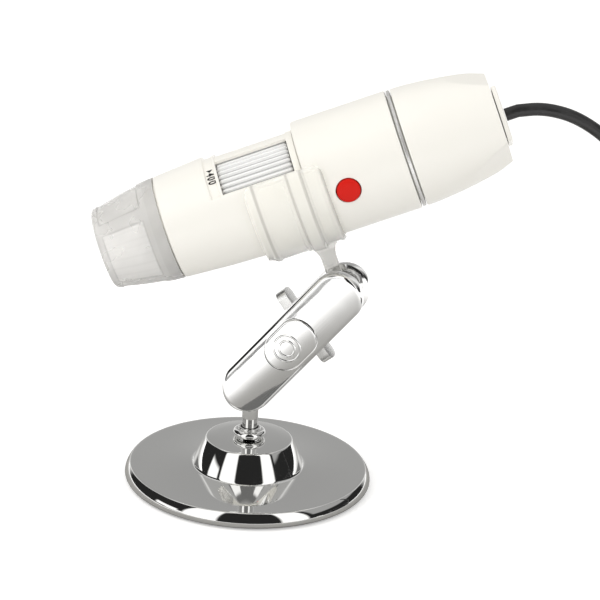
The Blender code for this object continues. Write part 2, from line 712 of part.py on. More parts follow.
def make_arm(arm_frame):
    front = arm_shell("arm_front_shell", -1, arm_frame)
    rear = arm_shell("arm_rear_shell", 1, arm_frame)
    middle = Matrix.Translation((ARM_SPACING / 2, 0, 0))
    cap_bottom = make_boss_cap(arm_frame)
    seat = cap_bottom - GAP
    top = ARM_CROWN + OVERRUN
    cut(front, skinned([[(x, -y, z) for x, z in cap_outline(GAP)] for y in (seat, top)]))

    head_top = seat - GAP
    head_floor = head_top - SCREW_HEAD_HEIGHT
    recess = SCREW_HEAD_RADIUS + GAP
    floor = head_floor - GAP
    counterbore = [(-floor, recess), (-top, recess)]
    cut(front, moved(turned_solid(counterbore, MIDDLE_FACES, about_y), middle))

    washer_seat = ARM_CROWN - WASHER_SINK
    land = WASHER_RADIUS + GAP
    flat = [(washer_seat, land), (top, land)]
    cut(rear, moved(turned_solid(flat, MIDDLE_FACES, about_y), middle))
    washer_low = washer_seat + GAP
    washer_high = washer_low + WASHER_THICKNESS
    bore = SCREW_RADIUS + GAP
    washer = [
        (washer_low, bore),
        (washer_low, WASHER_RADIUS),
        (washer_high, WASHER_RADIUS),
        (washer_high, bore),
    ]
    piece("clamp_washer", moved(turned(washer, MIDDLE_FACES, about_y), middle), STEEL, arm_frame)

    nut_low = washer_high + GAP
    end = nut_low + WING_HUB_HEIGHT + SCREW_PROUD
    screw = [
        (-head_top, SCREW_HEAD_RADIUS),
        (-head_floor, SCREW_HEAD_RADIUS),
        (-head_floor, SCREW_RADIUS),
        (end - SCREW_PROUD / 2, SCREW_RADIUS),
        (end, SCREW_RADIUS - SCREW_PROUD / 2),
    ]
    piece("clamp_screw", moved(turned_solid(screw, SMALL_FACES, about_y), middle), STEEL, arm_frame)
    make_wing_nut(arm_frame, nut_low)


def make_wing_nut(arm_frame, low):
    """A hub with two ears, on its own frame at the screw."""
    screw_frame = frame("wing_axis", arm_frame, (ARM_SPACING / 2, 0, 0), (0, WING_TURN, 0))
    high = low + WING_HUB_HEIGHT
    bevel = WING_ROUND / 3
    hub = [
        (low, WING_HUB_RADIUS),
        (high - bevel, WING_HUB_RADIUS),
        (high, WING_HUB_RADIUS - bevel),
    ]
    nut = piece("wing_nut", turned_solid(hub, MIDDLE_FACES, about_y), SATIN, screw_frame)
    ear_low = low + WING_RISE
    ear_high = ear_low + WING_DEPTH
    for side in (-1, 1):
        outline = [(0, ear_low), (WING_REACH - WING_ROUND, ear_low)]
        for k in range(1, 5):
            angle = -math.pi / 2 + math.pi / 8 * k
            outline.append(
                (
                    WING_REACH - WING_ROUND + WING_ROUND * math.cos(angle),
                    ear_low + WING_ROUND + WING_ROUND * math.sin(angle),
                )
            )
        for k in range(5):
            angle = math.pi / 8 * k
            outline.append(
                (
                    WING_REACH - WING_ROUND + WING_ROUND * math.cos(angle),
                    ear_high - WING_ROUND + WING_ROUND * math.sin(angle),
                )
            )
        outline.append((0, high - bevel))
        faces = [
            [(x, y, side * radial) for radial, y in outline]
            for x in (-WING_THICKNESS / 2, WING_THICKNESS / 2)
        ]
        join(nut, skinned(faces))
    bore = SCREW_RADIUS + GAP
    ends = (low - OVERRUN, ear_high + OVERRUN)
    cut(nut, turned_solid([(end, bore) for end in ends], SMALL_FACES, about_y))


# Clip

def make_clip(clip_frame):
    """An open ring round the microscope, with its stem and the peg for the upper ball."""
    outer = CLIP_BORE + CLIP_WALL
    rib = outer + CLIP_RIB_HEIGHT
    slope = CLIP_RIB_HEIGHT / 2
    profile = [
        (-CLIP_FRONT_LENGTH - CLIP_LIP_LENGTH, CLIP_BORE),
        (-CLIP_FRONT_LENGTH - CLIP_LIP_LENGTH, CLIP_BORE + CLIP_LIP_WALL),
        (-CLIP_FRONT_LENGTH, outer - CLIP_LIP_WALL),
        (-CLIP_RIB_FRONT - slope, outer),
        (-CLIP_RIB_FRONT, rib),
        (CLIP_RIB_REAR, rib),
        (CLIP_RIB_REAR + slope, outer),
        (CLIP_REAR_LENGTH - CLIP_EDGE, outer),
        (CLIP_REAR_LENGTH, outer - CLIP_EDGE),
        (CLIP_REAR_LENGTH, CLIP_BORE),
    ]
    steps = 28
    loops = []
    for k in range(steps + 1):
        angle = math.pi - CLIP_WRAP + 2 * CLIP_WRAP * k / steps
        loops.append([about_x(t, radius, angle) for t, radius in profile])
    clip = piece("scope_clip", skinned(loops), CLEAR, clip_frame)

    top = CLIP_BORE + CLIP_WALL / 2
    shoulder = HEAD_HEIGHT - SHOULDER_FROM_BALL
    flare = outer + CLIP_STEM_FLARE_LENGTH
    widths = (
        (top, CLIP_STEM_FLARE),
        (outer, CLIP_STEM_FLARE),
        (flare, CLIP_STEM_WIDTH),
        (shoulder, CLIP_STEM_WIDTH),
    )
    sections = []
    for down, width in widths:
        outline = rounded_rectangle(width, CLIP_STEM_THICKNESS, CLIP_STEM_ROUND, 3)
        sections.append([(x, y, -down) for x, y in outline])
    join(clip, skinned(sections))
    peg_end = HEAD_HEIGHT + PEG_DEPTH_PAST_CENTRE
    peg_top = shoulder - OVERRUN
    peg = [(-peg_end, PEG_RADIUS), (-peg_top, PEG_RADIUS)]
    join(clip, turned_solid(peg, SMALL_FACES, about_z))


# Microscope

def barrel_radius(place):
    """The front barrel's outer radius: a cone up to its shoulder, then a slight one."""
    if place < BARREL_SHOULDER:
        share = (place - BARREL_FRONT) / (BARREL_SHOULDER - BARREL_FRONT)
        return BARREL_FRONT_RADIUS + BARREL_FRONT_TAPER * share
    share = (place - BARREL_SHOULDER) / (BARREL_REAR - BARREL_SHOULDER)
    return BARREL_SHOULDER_RADIUS + BARREL_REAR_TAPER * share


def make_barrel(scope_frame):
    ledge = LED_RECESS - LED_LEDGE
    front_bore = barrel_radius(LEDGE_BACK + OVERRUN) - BARREL_WALL
    rear_bore = barrel_radius(WEB_FRONT) - BARREL_WALL
    profile = [
        (BARREL_NOSE, LED_RECESS),
        (BARREL_NOSE, BARREL_SPIGOT_RADIUS),
        (SHOULDER_FRONT, BARREL_SPIGOT_RADIUS),
        (SHOULDER_FRONT, BARREL_FRONT_RADIUS),
        (BARREL_SHOULDER, BARREL_SHOULDER_RADIUS),
        (WEB_REAR, barrel_radius(WEB_REAR)),
        (BARREL_REAR, BARREL_REAR_RADIUS),
        (BARREL_REAR, WHEEL_BORE_IN_BARREL),
        (WEB_REAR, WHEEL_BORE_IN_BARREL),
        (WEB_REAR, WHEEL_BORE),
        (WEB_FRONT, WHEEL_BORE),
        (WEB_FRONT, rear_bore),
        (LEDGE_BACK + OVERRUN, min(front_bore, BARREL_SPIGOT_RADIUS - GAP)),
        (LEDGE_BACK, ledge),
        (LEDGE_FRONT, ledge),
        (LEDGE_FRONT, LED_RECESS),
    ]
    barrel = piece("front_barrel", turned(profile, LARGE_FACES, about_x), CREAM, scope_frame)

    outside = BARREL_REAR_RADIUS + OVERRUN
    cut(
        barrel,
        wrapped(
            -SADDLE_HALF_ANGLE,
            SADDLE_HALF_ANGLE,
            SADDLE_FRONT,
            BARREL_REAR + OVERRUN,
            lambda place: SADDLE_RADIUS,
            lambda place: outside,
            steps=13,
        ),
    )
    for start, end in (
        (STRIP_HALF_ANGLE, WINDOW_HALF_ANGLE),
        (-WINDOW_HALF_ANGLE, -STRIP_HALF_ANGLE),
    ):
        cut(
            barrel,
            wrapped(
                start,
                end,
                WHEEL_FRONT,
                SPIGOT_FRONT,
                lambda place: WHEEL_BORE_IN_BARREL - OVERRUN,
                lambda place: outside,
                steps=6,
            ),
        )


def make_wheel(scope_frame):
    """The ribbed focus wheel: each rib is one trapezoid of the outline, run along the wheel."""
    root = WHEEL_RADIUS - WHEEL_RIB_HEIGHT
    outline = []
    for rib in range(WHEEL_RIBS):
        for share, height in zip(RIB_EDGE_SHARES, (root, WHEEL_RADIUS, WHEEL_RADIUS, root)):
            outline.append((height, math.tau * (rib + share) / WHEEL_RIBS))
    bore = [(WHEEL_BORE, angle) for height, angle in outline]
    sections = ((WHEEL_FRONT, outline), (WHEEL_REAR, outline), (WHEEL_REAR, bore), (WHEEL_FRONT, bore))
    solid = bmesh.new()
    rings = []
    for place, points in sections:
        rings.append([solid.verts.new(about_x(place, radius, angle)) for radius, angle in points])
    for ring, other in zip(rings, rings[1:] + rings[:1]):
        for k in range(len(ring)):
            nxt = (k + 1) % len(ring)
            solid.faces.new([ring[k], ring[nxt], other[nxt], other[k]])
    piece("focus_wheel", solid, SILVER, scope_frame)


def make_focus_train(scope_frame):
    flange_rear = HOUSING_FRONT - GAP
    flange_front = flange_rear - GUIDE_FLANGE
    flange_radius = WHEEL_RADIUS - SPIGOT_WALL - GAP
    guide = [
        (flange_rear, GUIDE_BORE),
        (flange_rear, flange_radius),
        (flange_front, flange_radius),
        (flange_front, GUIDE_RADIUS),
        (GUIDE_FRONT, GUIDE_RADIUS),
        (GUIDE_FRONT, GUIDE_BORE),
    ]
    tube = piece("guide_tube", turned(guide, MIDDLE_FACES, about_x), DARK, scope_frame)
    slot_front = -KEY_FRONT - FOCUS_TRAVEL - 2 * GAP
    slot_rear = -KEY_FRONT + KEY_LENGTH + FOCUS_TRAVEL + 2 * GAP
    half_slot = KEY_WIDTH / 2 + GAP
    slot_reach = GUIDE_RADIUS + OVERRUN
    cut(tube, box((slot_front, -slot_reach, -half_slot), (slot_rear, slot_reach, half_slot)))

    bore = CARRIER_RADIUS - CARRIER_WALL
    seat_radius = LENS_RADIUS + GAP
    carrier = [
        (CARRIER_FRONT, seat_radius),
        (CARRIER_FRONT, CARRIER_RADIUS),
        (-CARRIER_REAR, CARRIER_RADIUS),
        (-CARRIER_REAR, bore),
        (LENS_SEAT, bore),
        (LENS_SEAT, seat_radius),
    ]
    holder = piece("lens_carrier", turned(carrier, MIDDLE_FACES, about_x), DARK, scope_frame)
    for side in (-1, 1):
        ends = sorted((side * (CARRIER_RADIUS - CARRIER_WALL / 2), side * (GUIDE_RADIUS - GAP / 2)))
        low = (-KEY_FRONT, ends[0], -KEY_WIDTH / 2)
        high = (-KEY_FRONT + KEY_LENGTH, ends[1], KEY_WIDTH / 2)
        join(holder, box(low, high))

    back = LENS_SEAT - GAP
    edge_front = back - LENS_EDGE
    lens = [(back + LENS_REAR_SAG * (1 - share**2), LENS_RADIUS * share) for share in LENS_SHARES]
    for share in LENS_SHARES[::-1]:
        lens.append((edge_front - LENS_FRONT_SAG * (1 - share**2), LENS_RADIUS * share))
    piece("objective_lens", turned_solid(lens, MIDDLE_FACES, about_x), LENS, scope_frame)
    ring_back = edge_front - LENS_FRONT_SAG * (1 - (1 - RETAINER_WIDTH / LENS_RADIUS) ** 2) - GAP
    ring_front = ring_back - RETAINER_THICKNESS
    inner = LENS_RADIUS - RETAINER_WIDTH
    ring = [(ring_back, inner), (ring_back, LENS_RADIUS), (ring_front, LENS_RADIUS), (ring_front, inner)]
    piece("lens_retainer", turned(ring, MIDDLE_FACES, about_x), DARK, scope_frame)


def hood_radius(place):
    share = (place - HOOD_FRONT) / HOOD_LENGTH
    return HOOD_FRONT_RADIUS + HOOD_TAPER * share


def make_hood(scope_frame):
    """The clear hood with four sunk finger panels."""
    socket_front = HOOD_REAR - HOOD_SOCKET
    step = socket_front - HOOD_WALL / 4
    mouth = HOOD_FRONT_RADIUS - HOOD_WALL
    front_round = arc(
        (HOOD_FRONT + HOOD_ROUND, hood_radius(HOOD_FRONT + HOOD_ROUND) - HOOD_ROUND),
        (HOOD_ROUND, HOOD_ROUND),
        -math.pi / 2,
        0,
        3,
    )
    profile = [(HOOD_FRONT, mouth)] + front_round
    profile += [
        (HOOD_REAR, BARREL_FRONT_RADIUS),
        (HOOD_REAR, HOOD_SOCKET_RADIUS),
        (socket_front, HOOD_SOCKET_RADIUS),
        (step, hood_radius(step) - HOOD_WALL),
    ]
    hood = piece("led_hood", turned(profile, LARGE_FACES, about_x), CLEAR, scope_frame)
    for quarter in range(4):
        centre = math.pi / 2 * quarter
        cut(
            hood,
            wrapped(
                centre - HOOD_PANEL_HALF_ANGLE,
                centre + HOOD_PANEL_HALF_ANGLE,
                HOOD_FRONT + HOOD_PANEL_FRONT,
                HOOD_REAR - HOOD_PANEL_REAR,
                lambda place: hood_radius(place) - HOOD_PANEL_DEPTH,
                lambda place: hood_radius(place) + OVERRUN,
                corner=HOOD_PANEL_ROUND,
            ),
        )

    board_front = BARREL_NOSE + GAP
    board_back = board_front + LED_BOARD_THICKNESS
    bore = CARRIER_RADIUS + GAP
    board = [
        (board_front, bore),
        (board_front, LED_BOARD_RADIUS),
        (board_back, LED_BOARD_RADIUS),
        (board_back, bore),
    ]
    piece("led_board", turned(board, MIDDLE_FACES, about_x), BOARD, scope_frame)
    circle = (LED_BOARD_RADIUS + bore) / 2
    foot = board_front - GAP
    shoulder = foot - (LED_HEIGHT - LED_RADIUS)
    lamp = [(foot, LED_RADIUS)]
    lamp += arc((shoulder, 0), (-LED_RADIUS, LED_RADIUS), 0, math.pi / 2, 2)[:-1]
    lamp.append((shoulder - LED_RADIUS, 0))
    for k in range(LED_COUNT):
        place = Matrix.Translation(about_x(0, circle, math.tau * (k + 0.5) / LED_COUNT))
        piece(f"led_{k + 1}", moved(turned_solid(lamp, SMALL_FACES, about_x), place), LAMP, scope_frame)


def make_housing(scope_frame):
    """The main housing: a tube with a front bulkhead and a ring that centres the barrel."""
    spigot = WHEEL_RADIUS
    edge = arc(
        (HOUSING_FRONT + HOUSING_ROUND, HOUSING_RADIUS - HOUSING_ROUND),
        (HOUSING_ROUND, HOUSING_ROUND),
        -math.pi / 2,
        0,
        3,
    )
    profile = edge + [
        (HOUSING_REAR, HOUSING_RADIUS),
        (HOUSING_REAR, HOUSING_BORE),
        (BULKHEAD_BACK, HOUSING_BORE),
        (BULKHEAD_BACK, BULKHEAD_OPENING),
        (HOUSING_FRONT, BULKHEAD_OPENING),
        (HOUSING_FRONT, spigot - SPIGOT_WALL),
        (SPIGOT_FRONT, spigot - SPIGOT_WALL),
        (SPIGOT_FRONT, spigot),
        (HOUSING_FRONT, spigot),
    ]
    housing = piece("main_housing", turned(profile, LARGE_FACES, about_x), CREAM, scope_frame)
    hole = BUTTON_RADIUS + GAP
    reach = (HOUSING_BORE - HOUSING_WALL, HOUSING_RADIUS + OVERRUN)
    drill = [(-reach[0], hole), (-reach[1], hole)]
    cut(housing, moved(turned_solid(drill, MIDDLE_FACES, about_y), Matrix.Translation((BUTTON_PLACE, 0, 0))))

    pilot = SENSOR_SCREW_RADIUS + GAP
    board = [(SENSOR_BOARD_FRONT, SENSOR_BOARD_RADIUS), (SENSOR_BOARD_BACK, SENSOR_BOARD_RADIUS)]
    plate = piece("sensor_board", turned_solid(board, MIDDLE_FACES, about_x), BOARD, scope_frame)
    half = BULKHEAD_OPENING * SENSOR_WIDTH_SHARE / 2
    low = SENSOR_BOARD_FRONT - GAP - SENSOR_HEIGHT
    piece("image_sensor", box((low, -half, -half), (low + SENSOR_HEIGHT, half, half)), CHIP, scope_frame)

    head_low = SENSOR_BOARD_BACK + GAP
    head_high = head_low + SENSOR_SCREW_HEAD
    tip = BULKHEAD_BACK - SENSOR_SCREW_DEPTH
    screw = [
        (tip, SENSOR_SCREW_RADIUS),
        (head_low, SENSOR_SCREW_RADIUS),
        (head_low, SENSOR_SCREW_HEAD),
        (head_high, SENSOR_SCREW_HEAD),
    ]
    blind = [(tip - GAP, pilot), (head_low, pilot)]
    places = []
    for k in range(SENSOR_SCREWS):
        angle = -math.pi / 2 + math.tau * k / SENSOR_SCREWS
        places.append(Matrix.Translation(about_x(0, SENSOR_SCREW_CIRCLE, angle)))
    for number, place in enumerate(places, 1):
        fastener = moved(turned_solid(screw, SMALL_FACES, about_x), place)
        piece(f"sensor_screw_{number}", fastener, STEEL, scope_frame)
        for target in (housing, plate):
            cut(target, moved(turned_solid(blind, SMALL_FACES, about_x), place))


def make_button(scope_frame):
    """The red button, held by its flange inside the wall, and the switch that it presses."""
    button_frame = frame("button_axis", scope_frame, (BUTTON_PLACE, 0, 0), (math.pi / 2, 0, 0))
    flange_radius = BUTTON_RADIUS + BUTTON_FLANGE_WIDTH
    flange_top = math.sqrt((HOUSING_BORE - GAP) ** 2 - flange_radius**2)
    flange_low = flange_top - BUTTON_FLANGE_THICKNESS
    nub_low = flange_low - BUTTON_NUB_LENGTH
    top = HOUSING_RADIUS + BUTTON_PROUD
    face = [
        (top - BUTTON_CROWN * (1 - math.sqrt(1 - share**2)), BUTTON_RADIUS * share)
        for share in BUTTON_FACE_SHARES
    ]
    button = face + [
        (flange_top, BUTTON_RADIUS),
        (flange_top, flange_radius),
        (flange_low, flange_radius),
        (flange_low, BUTTON_NUB_RADIUS),
        (nub_low, BUTTON_NUB_RADIUS),
    ]
    piece("snap_button", turned_solid(button, MIDDLE_FACES, about_z), RED, button_frame)

    half = SWITCH_WIDTH / 2
    switch_top = nub_low - BUTTON_TRAVEL - GAP
    body_top = switch_top - PLUNGER_HEIGHT
    switch_low = body_top - SWITCH_HEIGHT
    switch = piece("tact_switch", box((-half, -half, switch_low), (half, half, body_top)), CHIP, button_frame)
    plunger = [(body_top - PLUNGER_HEIGHT, PLUNGER_RADIUS), (switch_top, PLUNGER_RADIUS)]
    join(switch, turned_solid(plunger, SMALL_FACES, about_z))

    board_top = switch_low - GAP
    half_height = math.sqrt((HOUSING_BORE - GAP) ** 2 - board_top**2)
    front = SENSOR_BOARD_BACK + GAP + SENSOR_SCREW_HEAD + MAIN_BOARD_CLEARANCE
    low = (front, -board_top, -half_height)
    high = (CAP_SPIGOT_FRONT - MAIN_BOARD_CLEARANCE, BOARD_THICKNESS - board_top, half_height)
    piece("main_board", box(low, high), BOARD, scope_frame)


def cap_radius(place):
    share = (place - CAP_FRONT) / CAP_LENGTH
    return CAP_FRONT_RADIUS - CAP_TAPER * share**CAP_CURVE_POWER


def make_rear(scope_frame):
    """The trim ring, the faceted rear cap and the end plate that the cable leaves by."""
    ring_back = RING_FRONT + RING_WIDTH
    ring_radius = HOUSING_RADIUS - RING_INSET
    ring_bore = HOUSING_BORE
    ring = [
        (RING_FRONT, ring_bore),
        (RING_FRONT, ring_radius),
        (ring_back, ring_radius),
        (ring_back, ring_bore),
    ]
    piece("trim_ring", turned(ring, LARGE_FACES, about_x), SILVER, scope_frame)

    cap_frame = frame("cap_axis", scope_frame, turn=(CAP_TURN, 0, 0))
    places = [CAP_FRONT + CAP_LENGTH * share for share in CAP_LENGTH_SHARES]
    outside = [(place, cap_radius(place)) for place in places]
    wall_front = CAP_END - CAP_WALL
    facet_wall = CAP_END_RADIUS * FACET_END_SHARE - CAP_WALL
    opening = END_BOSS_RADIUS + GAP
    spigot = HOUSING_BORE - GAP
    bore = spigot - CAP_SPIGOT_WALL
    facet_front = CAP_END - FACET_LENGTH
    inside = [
        (CAP_END, opening),
        (wall_front, opening),
        (wall_front, facet_wall),
        (facet_front, min(bore, cap_radius(facet_front) - CAP_WALL)),
        (CAP_SPIGOT_FRONT, bore),
        (CAP_SPIGOT_FRONT, spigot),
        (CAP_FRONT, spigot),
    ]
    cap = piece("rear_cap", turned(outside + inside, LARGE_FACES, about_x), CREAM, cap_frame)

    end_depth = CAP_END_RADIUS * FACET_END_SHARE
    slope = (cap_radius(facet_front) - end_depth) / FACET_LENGTH
    top = CAP_FRONT_RADIUS + OVERRUN
    wedge = [
        (CAP_END - (top - end_depth) / slope, top),
        (CAP_END + OVERRUN, end_depth - OVERRUN * slope),
        (CAP_END + OVERRUN, top),
    ]
    for tilt in (FACET_TILT, -FACET_TILT, math.pi - FACET_TILT, math.pi + FACET_TILT):
        sides = [[(t, y, z) for t, z in wedge] for y in (-CAP_FRONT_RADIUS, CAP_FRONT_RADIUS)]
        cut(cap, moved(skinned(sides), Matrix.Rotation(tilt, 4, "X")))

    plate_radius = CAP_END_RADIUS - END_PLATE_INSET
    reach = math.asin(END_PLATE_HALF_HEIGHT / plate_radius)
    outline = []
    for side in (0, math.pi):
        for k in range(13):
            angle = side - reach + 2 * reach * k / 12
            outline.append((plate_radius * math.cos(angle), plate_radius * math.sin(angle)))
    bevel = END_PLATE_THICKNESS / 4
    shrink = 1 - bevel / END_PLATE_HALF_HEIGHT
    sections = ((PLATE_FRONT, 1), (PLATE_END - bevel, 1), (PLATE_END, shrink))
    loops = [[(t, y * share, z * share) for y, z in outline] for t, share in sections]
    plate = piece("end_plate", skinned(loops), CREAM, cap_frame)
    boss_front = PLATE_FRONT - END_BOSS_LENGTH
    boss = [(boss_front, END_BOSS_RADIUS), (PLATE_FRONT + bevel, END_BOSS_RADIUS)]
    join(plate, turned_solid(boss, MIDDLE_FACES, about_x))
    hole = CORD_RADIUS + GAP
    ends = (boss_front - OVERRUN, PLATE_END + OVERRUN)
    cut(plate, turned_solid([(end, hole) for end in ends], SMALL_FACES, about_x))

    anchor_back = boss_front - GAP
    anchor_front = anchor_back - ANCHOR_LENGTH
    anchor = [
        (anchor_front, ANCHOR_RADIUS),
        (anchor_back, ANCHOR_RADIUS),
        (anchor_back, CORD_RADIUS),
        (PLATE_END, CORD_RADIUS),
    ]
    piece("cable_anchor", turned_solid(anchor, SMALL_FACES, about_x), BLACK, scope_frame)


# Cable

def tube(name, points, parent, roundness):
    """A round cord along its points, with filled ends."""
    curve = bpy.data.curves.new(name, "CURVE")
    curve.dimensions = "3D"
    curve.bevel_depth = CORD_RADIUS
    curve.bevel_resolution = roundness
    curve.use_fill_caps = True
    spline = curve.splines.new("POLY")
    spline.points.add(len(points) - 1)
    for slot, point in zip(spline.points, points):
        slot.co = (*point, 1.0)
    curve.materials.append(material(BLACK))
    obj = bpy.data.objects.new(name, curve)
    bpy.context.scene.collection.objects.link(obj)
    obj.parent = parent
    if parent:
        obj.matrix_parent_inverse = world_of(parent).inverted()
    return obj


def world_of(empty):
    bpy.context.view_layer.update()
    return empty.matrix_world.copy()


def smooth_route(points, step):
    """Evenly spaced points on a smooth curve through the given ones."""
    fine = []
    padded = [2 * points[0] - points[1]] + points + [2 * points[-1] - points[-2]]
    for a, b, c, d in zip(padded, padded[1:], padded[2:], padded[3:]):
        for k in range(16):
            s = k / 16
            bend = (2 * a - 5 * b + 4 * c - d) * s**2 + (3 * b - a - 3 * c + d) * s**3
            fine.append((2 * b + (c - a) * s + bend) / 2)
    fine.append(points[-1])
    total = sum((b - a).length for a, b in zip(fine, fine[1:]))
    count = round(total / step)
    even = [fine[0]]
    walked = 0.0
    for a, b in zip(fine, fine[1:]):
        stretch = (b - a).length
        while len(even) < count and walked + stretch >= total * len(even) / count:
            even.append(a.lerp(b, (total * len(even) / count - walked) / stretch))
        walked += stretch
    even.append(fine[-1])
    return even


def coil_points():
    """The coil's centreline from its top, outer end down to the plug.

    Each layer spirals in or out by one pitch a turn. In the half turn where the spiral
    reverses, the cord steps down a layer and swings a little wide of its neighbours.
    """
    layer_turns = (COIL_TURNS - COIL_CLIMB_TURNS * (COIL_LAYERS - 1)) / COIL_LAYERS
    inner = COIL_OUTER_RADIUS - COIL_PITCH * layer_turns
    lowest = CORD_RADIUS + COIL_FLOOR
    points = []
    count = round(COIL_TURNS * COIL_LOOP_POINTS)
    for k in range(count + 1):
        turn = COIL_TURNS * k / count
        layer = min(int(turn / (layer_turns + COIL_CLIMB_TURNS)), COIL_LAYERS - 1)
        within = turn - layer * (layer_turns + COIL_CLIMB_TURNS)
        spiral = min(within, layer_turns)
        climb = max(within - layer_turns, 0) / COIL_CLIMB_TURNS
        inward = layer % 2 == 0
        radius = COIL_OUTER_RADIUS - COIL_PITCH * spiral if inward else inner + COIL_PITCH * spiral
        swing = COIL_CLIMB_DIP * math.sin(math.pi * climb)
        radius += -swing if inward else swing
        down = layer + (1 - math.cos(math.pi * climb)) / 2
        height = lowest + COIL_PITCH * (COIL_LAYERS - 1 - down)
        angle = COIL_START_ANGLE - math.tau * turn
        off = (angle - TIE_ANGLE + math.pi) % math.tau - math.pi
        if abs(off) < TIE_LIFT_HALF_ANGLE:
            height += tie_lift() * math.cos(math.pi / 2 * off / TIE_LIFT_HALF_ANGLE) ** 2
        x = COIL_CENTRE[0] + radius * math.cos(angle)
        y = COIL_CENTRE[1] + radius * math.sin(angle)
        points.append(Vector((x, y, height)))
    return points


def tie_lift():
    """How far the turns rise over the tie that passes under them."""
    return TIE_THICKNESS + GAP


def least_gap(points):
    """The least distance between the cord and itself, a loop or more along."""
    apart = round(COIL_LOOP_POINTS * COIL_CLIMB_TURNS)
    least = math.inf
    for i, point in enumerate(points):
        for other in points[i + apart:]:
            least = min(least, (point - other).length)
    return least - 2 * CORD_RADIUS


def make_cable(scope_frame):
    world = world_of(scope_frame)
    along = (world.to_3x3() @ Vector((1, 0, 0))).normalized()
    start = world @ Vector((CORD_EXIT, 0, 0))
    diameter = 2 * CORD_RADIUS

    coil = coil_points()
    into = Vector((math.sin(COIL_START_ANGLE), -math.cos(COIL_START_ANGLE), 0))
    coil_start = coil[0] - into * diameter
    coil = [coil_start, coil[0] - into * diameter / 2] + coil

    last = coil[-1]
    end_angle = COIL_START_ANGLE - math.tau * COIL_TURNS
    out = Vector((math.sin(end_angle), -math.cos(end_angle), 0))
    plug_height = PLUG_HEIGHT / 2 + COIL_FLOOR
    steps = 7
    for k in range(1, steps + 1):
        share = k / steps
        rise = min(max((share * TAIL_LENGTH - diameter) / (TAIL_LENGTH - 2 * diameter), 0), 1)
        lift = (plug_height - last.z) * (1 - math.cos(math.pi * rise)) / 2
        coil.append(last + out * TAIL_LENGTH * share + Vector((0, 0, lift)))
    print(f"least gap between the coil's turns: {least_gap(coil) * 1000:.2f} mm")
    tube("cable_coil", coil, scope_frame, 1)

    free_end = coil_start - into * GAP
    first = start + along * diameter
    before = free_end - into * diameter
    middle = [first] + [Vector(point) for point in CORD_ROUTE] + [before]
    route = [start, start + along * diameter / 2] + smooth_route(middle, CORD_STEP)
    route += [free_end - into * diameter / 2, free_end]
    tube("usb_cable", route, scope_frame, 2)
    for name, points in (("free stretch", route), ("coil", coil)):
        length = sum((b - a).length for a, b in zip(points, points[1:]))
        print(f"{name}: {length:.4f} m, {len(points)} points")
    make_tie(scope_frame)
    make_plug(scope_frame, coil[-1], out)


def make_tie(scope_frame):
    """A strip round all the turns, passing under them where they rise for it."""
    layer_turns = (COIL_TURNS - COIL_CLIMB_TURNS * (COIL_LAYERS - 1)) / COIL_LAYERS
    inner = COIL_OUTER_RADIUS - COIL_PITCH * layer_turns
    spread = CORD_RADIUS + COIL_CLIMB_DIP + GAP
    width = COIL_OUTER_RADIUS - inner + 2 * spread
    low = COIL_FLOOR + TIE_THICKNESS
    high = COIL_FLOOR + 2 * CORD_RADIUS + COIL_PITCH * (COIL_LAYERS - 1) + tie_lift() + GAP
    centre_radius = (COIL_OUTER_RADIUS + inner) / 2
    solid = bmesh.new()
    rings = []
    outer = rounded_rectangle(width + 2 * TIE_THICKNESS, high - low + 2 * TIE_THICKNESS, TIE_ROUND / 2, 3)
    hollow = rounded_rectangle(width, high - low, (TIE_ROUND - TIE_THICKNESS) / 2 - GAP, 3)
    for y, outline in (
        (-TIE_WIDTH / 2, outer),
        (TIE_WIDTH / 2, outer),
        (TIE_WIDTH / 2, hollow),
        (-TIE_WIDTH / 2, hollow),
    ):
        rings.append([solid.verts.new((x, y, (low + high) / 2 + z)) for x, z in outline])
    for ring, other in zip(rings, rings[1:] + rings[:1]):
        for k in range(len(ring)):
            nxt = (k + 1) % len(ring)
            solid.faces.new([ring[k], ring[nxt], other[nxt], other[k]])
    place = Matrix.Translation((*COIL_CENTRE, 0)) @ Matrix.Rotation(TIE_ANGLE, 4, "Z")
    place = place @ Matrix.Translation((centre_radius, 0, 0))
    strip = piece("cable_tie", moved(solid, place), TIE, scope_frame)
    strip.matrix_parent_inverse = world_of(scope_frame).inverted()


